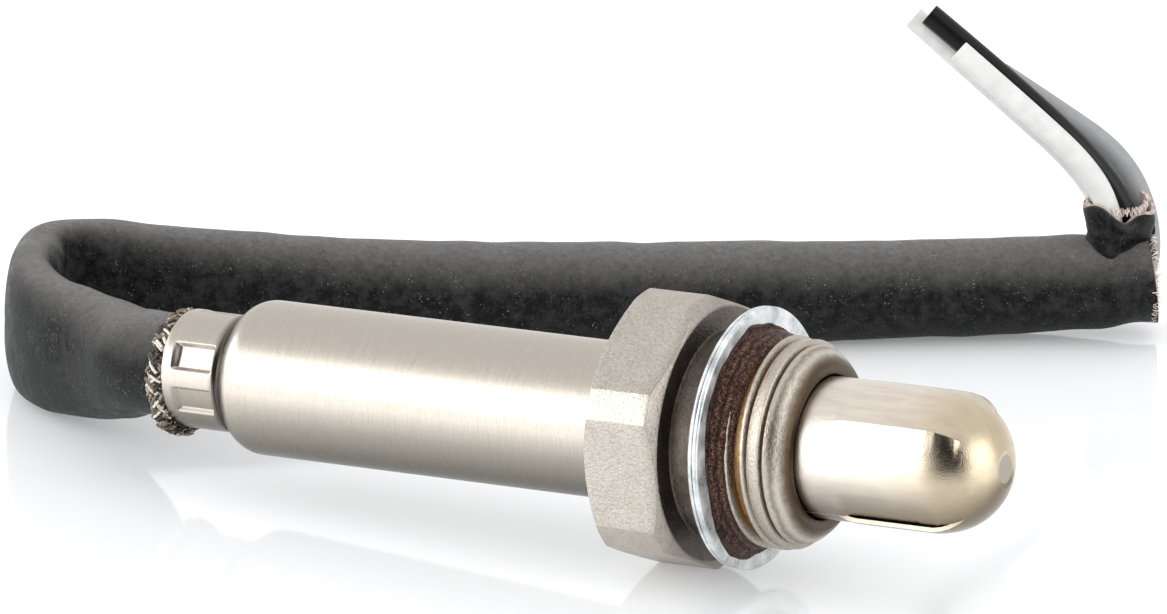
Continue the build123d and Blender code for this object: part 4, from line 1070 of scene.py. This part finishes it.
# soot from the exhaust leaves the inside matt and nearly black
sooted, tree, shader = new_finish("stainless_sooted_inside", Roughness=0.85)
turned = turned_millimetres(tree)
soot = add(tree, "ShaderNodeTexNoise", {"Vector": turned, "Scale": 1.5, "Detail": 5})
tone = add(tree, "ShaderNodeMix", {0: soot, 6: linear("#17130F"), 7: linear("#3A2F26")}, data_type="RGBA")
feed(tree, shader, {"Base Color": tone.outputs[2]})

# the lanced edges are raw metal, pale and a little burred
lanced, tree, shader = new_finish("stainless_lanced_edge", Metallic=0.35, Roughness=0.45)
turned = turned_millimetres(tree)
burr = add(tree, "ShaderNodeTexNoise", {"Vector": turned, "Scale": 2.0, "Detail": 4})
tone = add(tree, "ShaderNodeMix", {0: burr, 6: linear("#D9C9AE"), 7: linear("#F6EFE2")}, data_type="RGBA")
feed(tree, shader, {"Base Color": tone.outputs[2]})
walled(tube_piece, 0.35, 2, 32, (drawn, sooted, lanced))
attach(tube_piece, "root")
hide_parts("protection_tube")


# ---- Casing tube -------------------------------------------------------------------------------
# The rear casing: stainless tube drawn in at a shoulder to a neck, where pairs of square dimples crimp
# it on the cable grommet. It is brushed round its girth; its flange is rolled under the shell's lip.
shoulder_turn = np.linspace(math.asin((4.98 - 2.89) / 3.8), math.pi / 2, 20)
neck_r, casing_r, dimple_floor_r = 5.13, 6.69, 4.60
outline = [(-52.05, 4.35), (-52.3, 4.62), (-52.42, 4.8), (-52.40, 4.95), (-52.28, 5.06), (-52.1, 5.12)]
outline += [(-51.9, neck_r)] + [(x, neck_r) for x in np.arange(-51.7, -47.15, 0.09)]
outline += [
    (-47.1, 5.12), (-47.0, 5.06), (-46.92, 4.95), (-46.84, 4.88), (-46.7, 4.85), (-46.5, 4.88), (-46.4, 4.92)
]
outline += [(-43.9 - 3.0 * math.cos(a) ** 0.9, 2.89 + 3.8 * math.sin(a)) for a in shoulder_turn]
outline += [(x, casing_r) for x in np.arange(-43.4, -6.0, 3.4)] + [(-5.9, casing_r)]
outline += [(-5.7, 6.8), (-5.68, 7.5), (-5.22, 7.5), (-5.2, 6.2)]
outer_rows = len(outline)
outline += [(-5.2, 6.19), (-44.0, 6.19), (-45.2, 5.4), (-46.2, 4.3), (-46.9, 4.05), (-51.9, 4.05), (-52.0, 4.2)]
around = np.linspace(0, 2 * math.pi, 720, endpoint=False)
x_at = np.array([p[0] for p in outline])[:, None]
radius_at = np.repeat(np.array([p[1] for p in outline], float)[:, None], len(around), axis=1)
is_outside = np.arange(len(outline))[:, None] < outer_rows
for middle_angle in (53.7, 173.7, 293.7):
    for half in (-22.5, 22.5):
        off = np.angle(np.exp(1j * (around - math.radians(middle_angle + half))))[None, :]
        wide = np.clip((1.30 - abs(neck_r * np.sin(off))) / 0.34, 0, 1) * (abs(off) < 0.6)
        rear = np.clip((x_at + 51.35) / 0.75, 0, 1)
        front = np.clip((-47.2 - x_at) / 0.30, 0, 1)
        depth = wide * wide * (3 - 2 * wide) * rear * rear * (3 - 2 * rear) * front * front * (3 - 2 * front)
        floor_r = dimple_floor_r / np.maximum(np.cos(off), 0.8)
        dimpled = radius_at + (floor_r - neck_r) * depth
        on_neck = is_outside & (radius_at < 5.2) & (radius_at > 5.0)
        radius_at = np.where(on_neck, dimpled, radius_at)
casing = skin("casing_tube_crimped", radial(x_at, radius_at, around[None, :]), wrap_rows=True)
settled(casing, 50)
# belt-brushed stainless: fine lines round the tube, which stretch each highlight along it
brushed, tree, shader = new_finish("stainless_tube_brushed", Metallic=1.0)
turned = turned_millimetres(tree)
station, radius = off_axis(tree, turned)
# near the shell the brush chattered and left short wavy marks
chatter = add(tree, "ShaderNodeTexNoise", {"Vector": turned, "Scale": 0.9, "Detail": 3})
near_shell = add(
    tree, "ShaderNodeMapRange",
    {"Value": station, "From Min": -26.0, "From Max": -10.0, "To Min": 0.0, "To Max": 1.3},
)
sway = add(tree, "ShaderNodeVectorMath", {0: chatter.outputs["Color"], 3: near_shell}, operation="SCALE")
swayed = add(tree, "ShaderNodeVectorMath", {0: turned, 1: sway}, operation="ADD")
lines_map = add(tree, "ShaderNodeMapping", {"Vector": swayed, "Scale": (5.0, 0.35, 0.35)})
lines = add(tree, "ShaderNodeTexNoise", {"Vector": lines_map, "Scale": 1.0, "Detail": 7, "Roughness": 0.75})
fine_map = add(tree, "ShaderNodeMapping", {"Vector": turned, "Scale": (22.0, 0.5, 0.5)})
fine_lines = add(tree, "ShaderNodeTexNoise", {"Vector": fine_map, "Scale": 1.0, "Detail": 3, "Roughness": 0.6})
both = add(tree, "ShaderNodeMix", {0: 0.45, 2: lines, 3: fine_lines})
tone = add(tree, "ShaderNodeMix", {0: both, 6: linear("#A69E94"), 7: linear("#D0C8BE")}, data_type="RGBA")
# painted shade: the underside is darkened, in place of the shadowed floor it reflects
under = under_side(tree, turned, 0.0, -0.85, 0.88)
casing_underside_shaded = add(tree, "ShaderNodeMix", {0: under, 6: tone.outputs[2], 7: linear("#5E5A52")}, data_type="RGBA")
# painted shade: the waist groove between the neck and the shoulder is darkened
in_waist = add(tree, "ShaderNodeMath", {0: station, 1: 46.2}, operation="ADD")
in_waist = add(tree, "ShaderNodeMath", {0: in_waist}, operation="ABSOLUTE")
waist_shade = add(
    tree, "ShaderNodeMapRange",
    {"Value": in_waist, "From Min": 0.5, "From Max": 1.3, "To Min": 0.95, "To Max": 0.0},
)
grooved = add(
    tree, "ShaderNodeMix", {0: waist_shade, 6: casing_underside_shaded.outputs[2], 7: linear("#34312D")}, data_type="RGBA"
)
rough = add(tree, "ShaderNodeMapRange", {"Value": both, "To Min": 0.20, "To Max": 0.36})
line_bump = add(tree, "ShaderNodeBump", {"Height": both, "Strength": 0.35, "Distance": 0.00004})
feed(tree, shader, {"Base Color": grooved.outputs[2], "Roughness": rough, "Normal": line_bump})
casing.data.materials.append(brushed)
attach(casing, "root")
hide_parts("casing_tube")


# ---- Hidden parts ------------------------------------------------------------------------------
# Sensing element, contacts, insulators, packing and grommet sit inside the casing and keep their shapes.
def body_finish(name, light, dark, scale, rough, metallic=0.0):
    """A finish with a two-tone grain of a given size and a faint bump."""
    material, tree, shader = new_finish(name, Roughness=rough, Metallic=metallic)
    turned = turned_millimetres(tree)
    grain = add(tree, "ShaderNodeTexNoise", {"Vector": turned, "Scale": scale, "Detail": 4})
    tone = add(tree, "ShaderNodeMix", {0: grain, 6: linear(dark), 7: linear(light)}, data_type="RGBA")
    bump = add(tree, "ShaderNodeBump", {"Height": grain, "Strength": 0.2, "Distance": 0.0001})
    feed(tree, shader, {"Base Color": tone.outputs[2], "Normal": bump})
    return material


hidden = {
    body_finish("zirconia_sintered", "#EDE7DA", "#D8CFBF", 2.0, 0.5): ["zirconia_element"],
    body_finish("steatite_ceramic_pressed", "#EAE6DE", "#D5CFC4", 1.5, 0.6): [
        "front_insulator", "rear_insulator"
    ],
    body_finish("talc_powder_packed", "#D9D5CC", "#B9B4AA", 4.0, 0.9): ["talc_packing"],
    body_finish("fluoropolymer_grommet_moulded", "#3B3A38", "#2A2928", 1.0, 0.5): ["cable_grommet"],
    body_finish("silicon_nitride_heater", "#3F3C3A", "#2B2927", 2.0, 0.45): ["heater_rod"],
    body_finish("nickel_strip_stamped", "#C9C3B8", "#A9A297", 2.0, 0.35, 1.0): [
        "ground_contact", "signal_contact", "heater_terminal_1", "heater_terminal_2", "signal_terminal",
        "ground_terminal",
    ],
    body_finish("steel_ring_machined", "#BDB8B2", "#9B958E", 3.0, 0.35, 1.0): [
        "packing_ring", "crimp_washer", "element_seal_ring"
    ],
    body_finish("spring_steel_tempered", "#8C8F93", "#5D6064", 2.0, 0.4, 1.0): ["retention_spring"],
}
for material, names in hidden.items():
    for name in names:
        inner_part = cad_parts[name]
        inner_part.data.materials.clear()
        inner_part.data.materials.append(material)
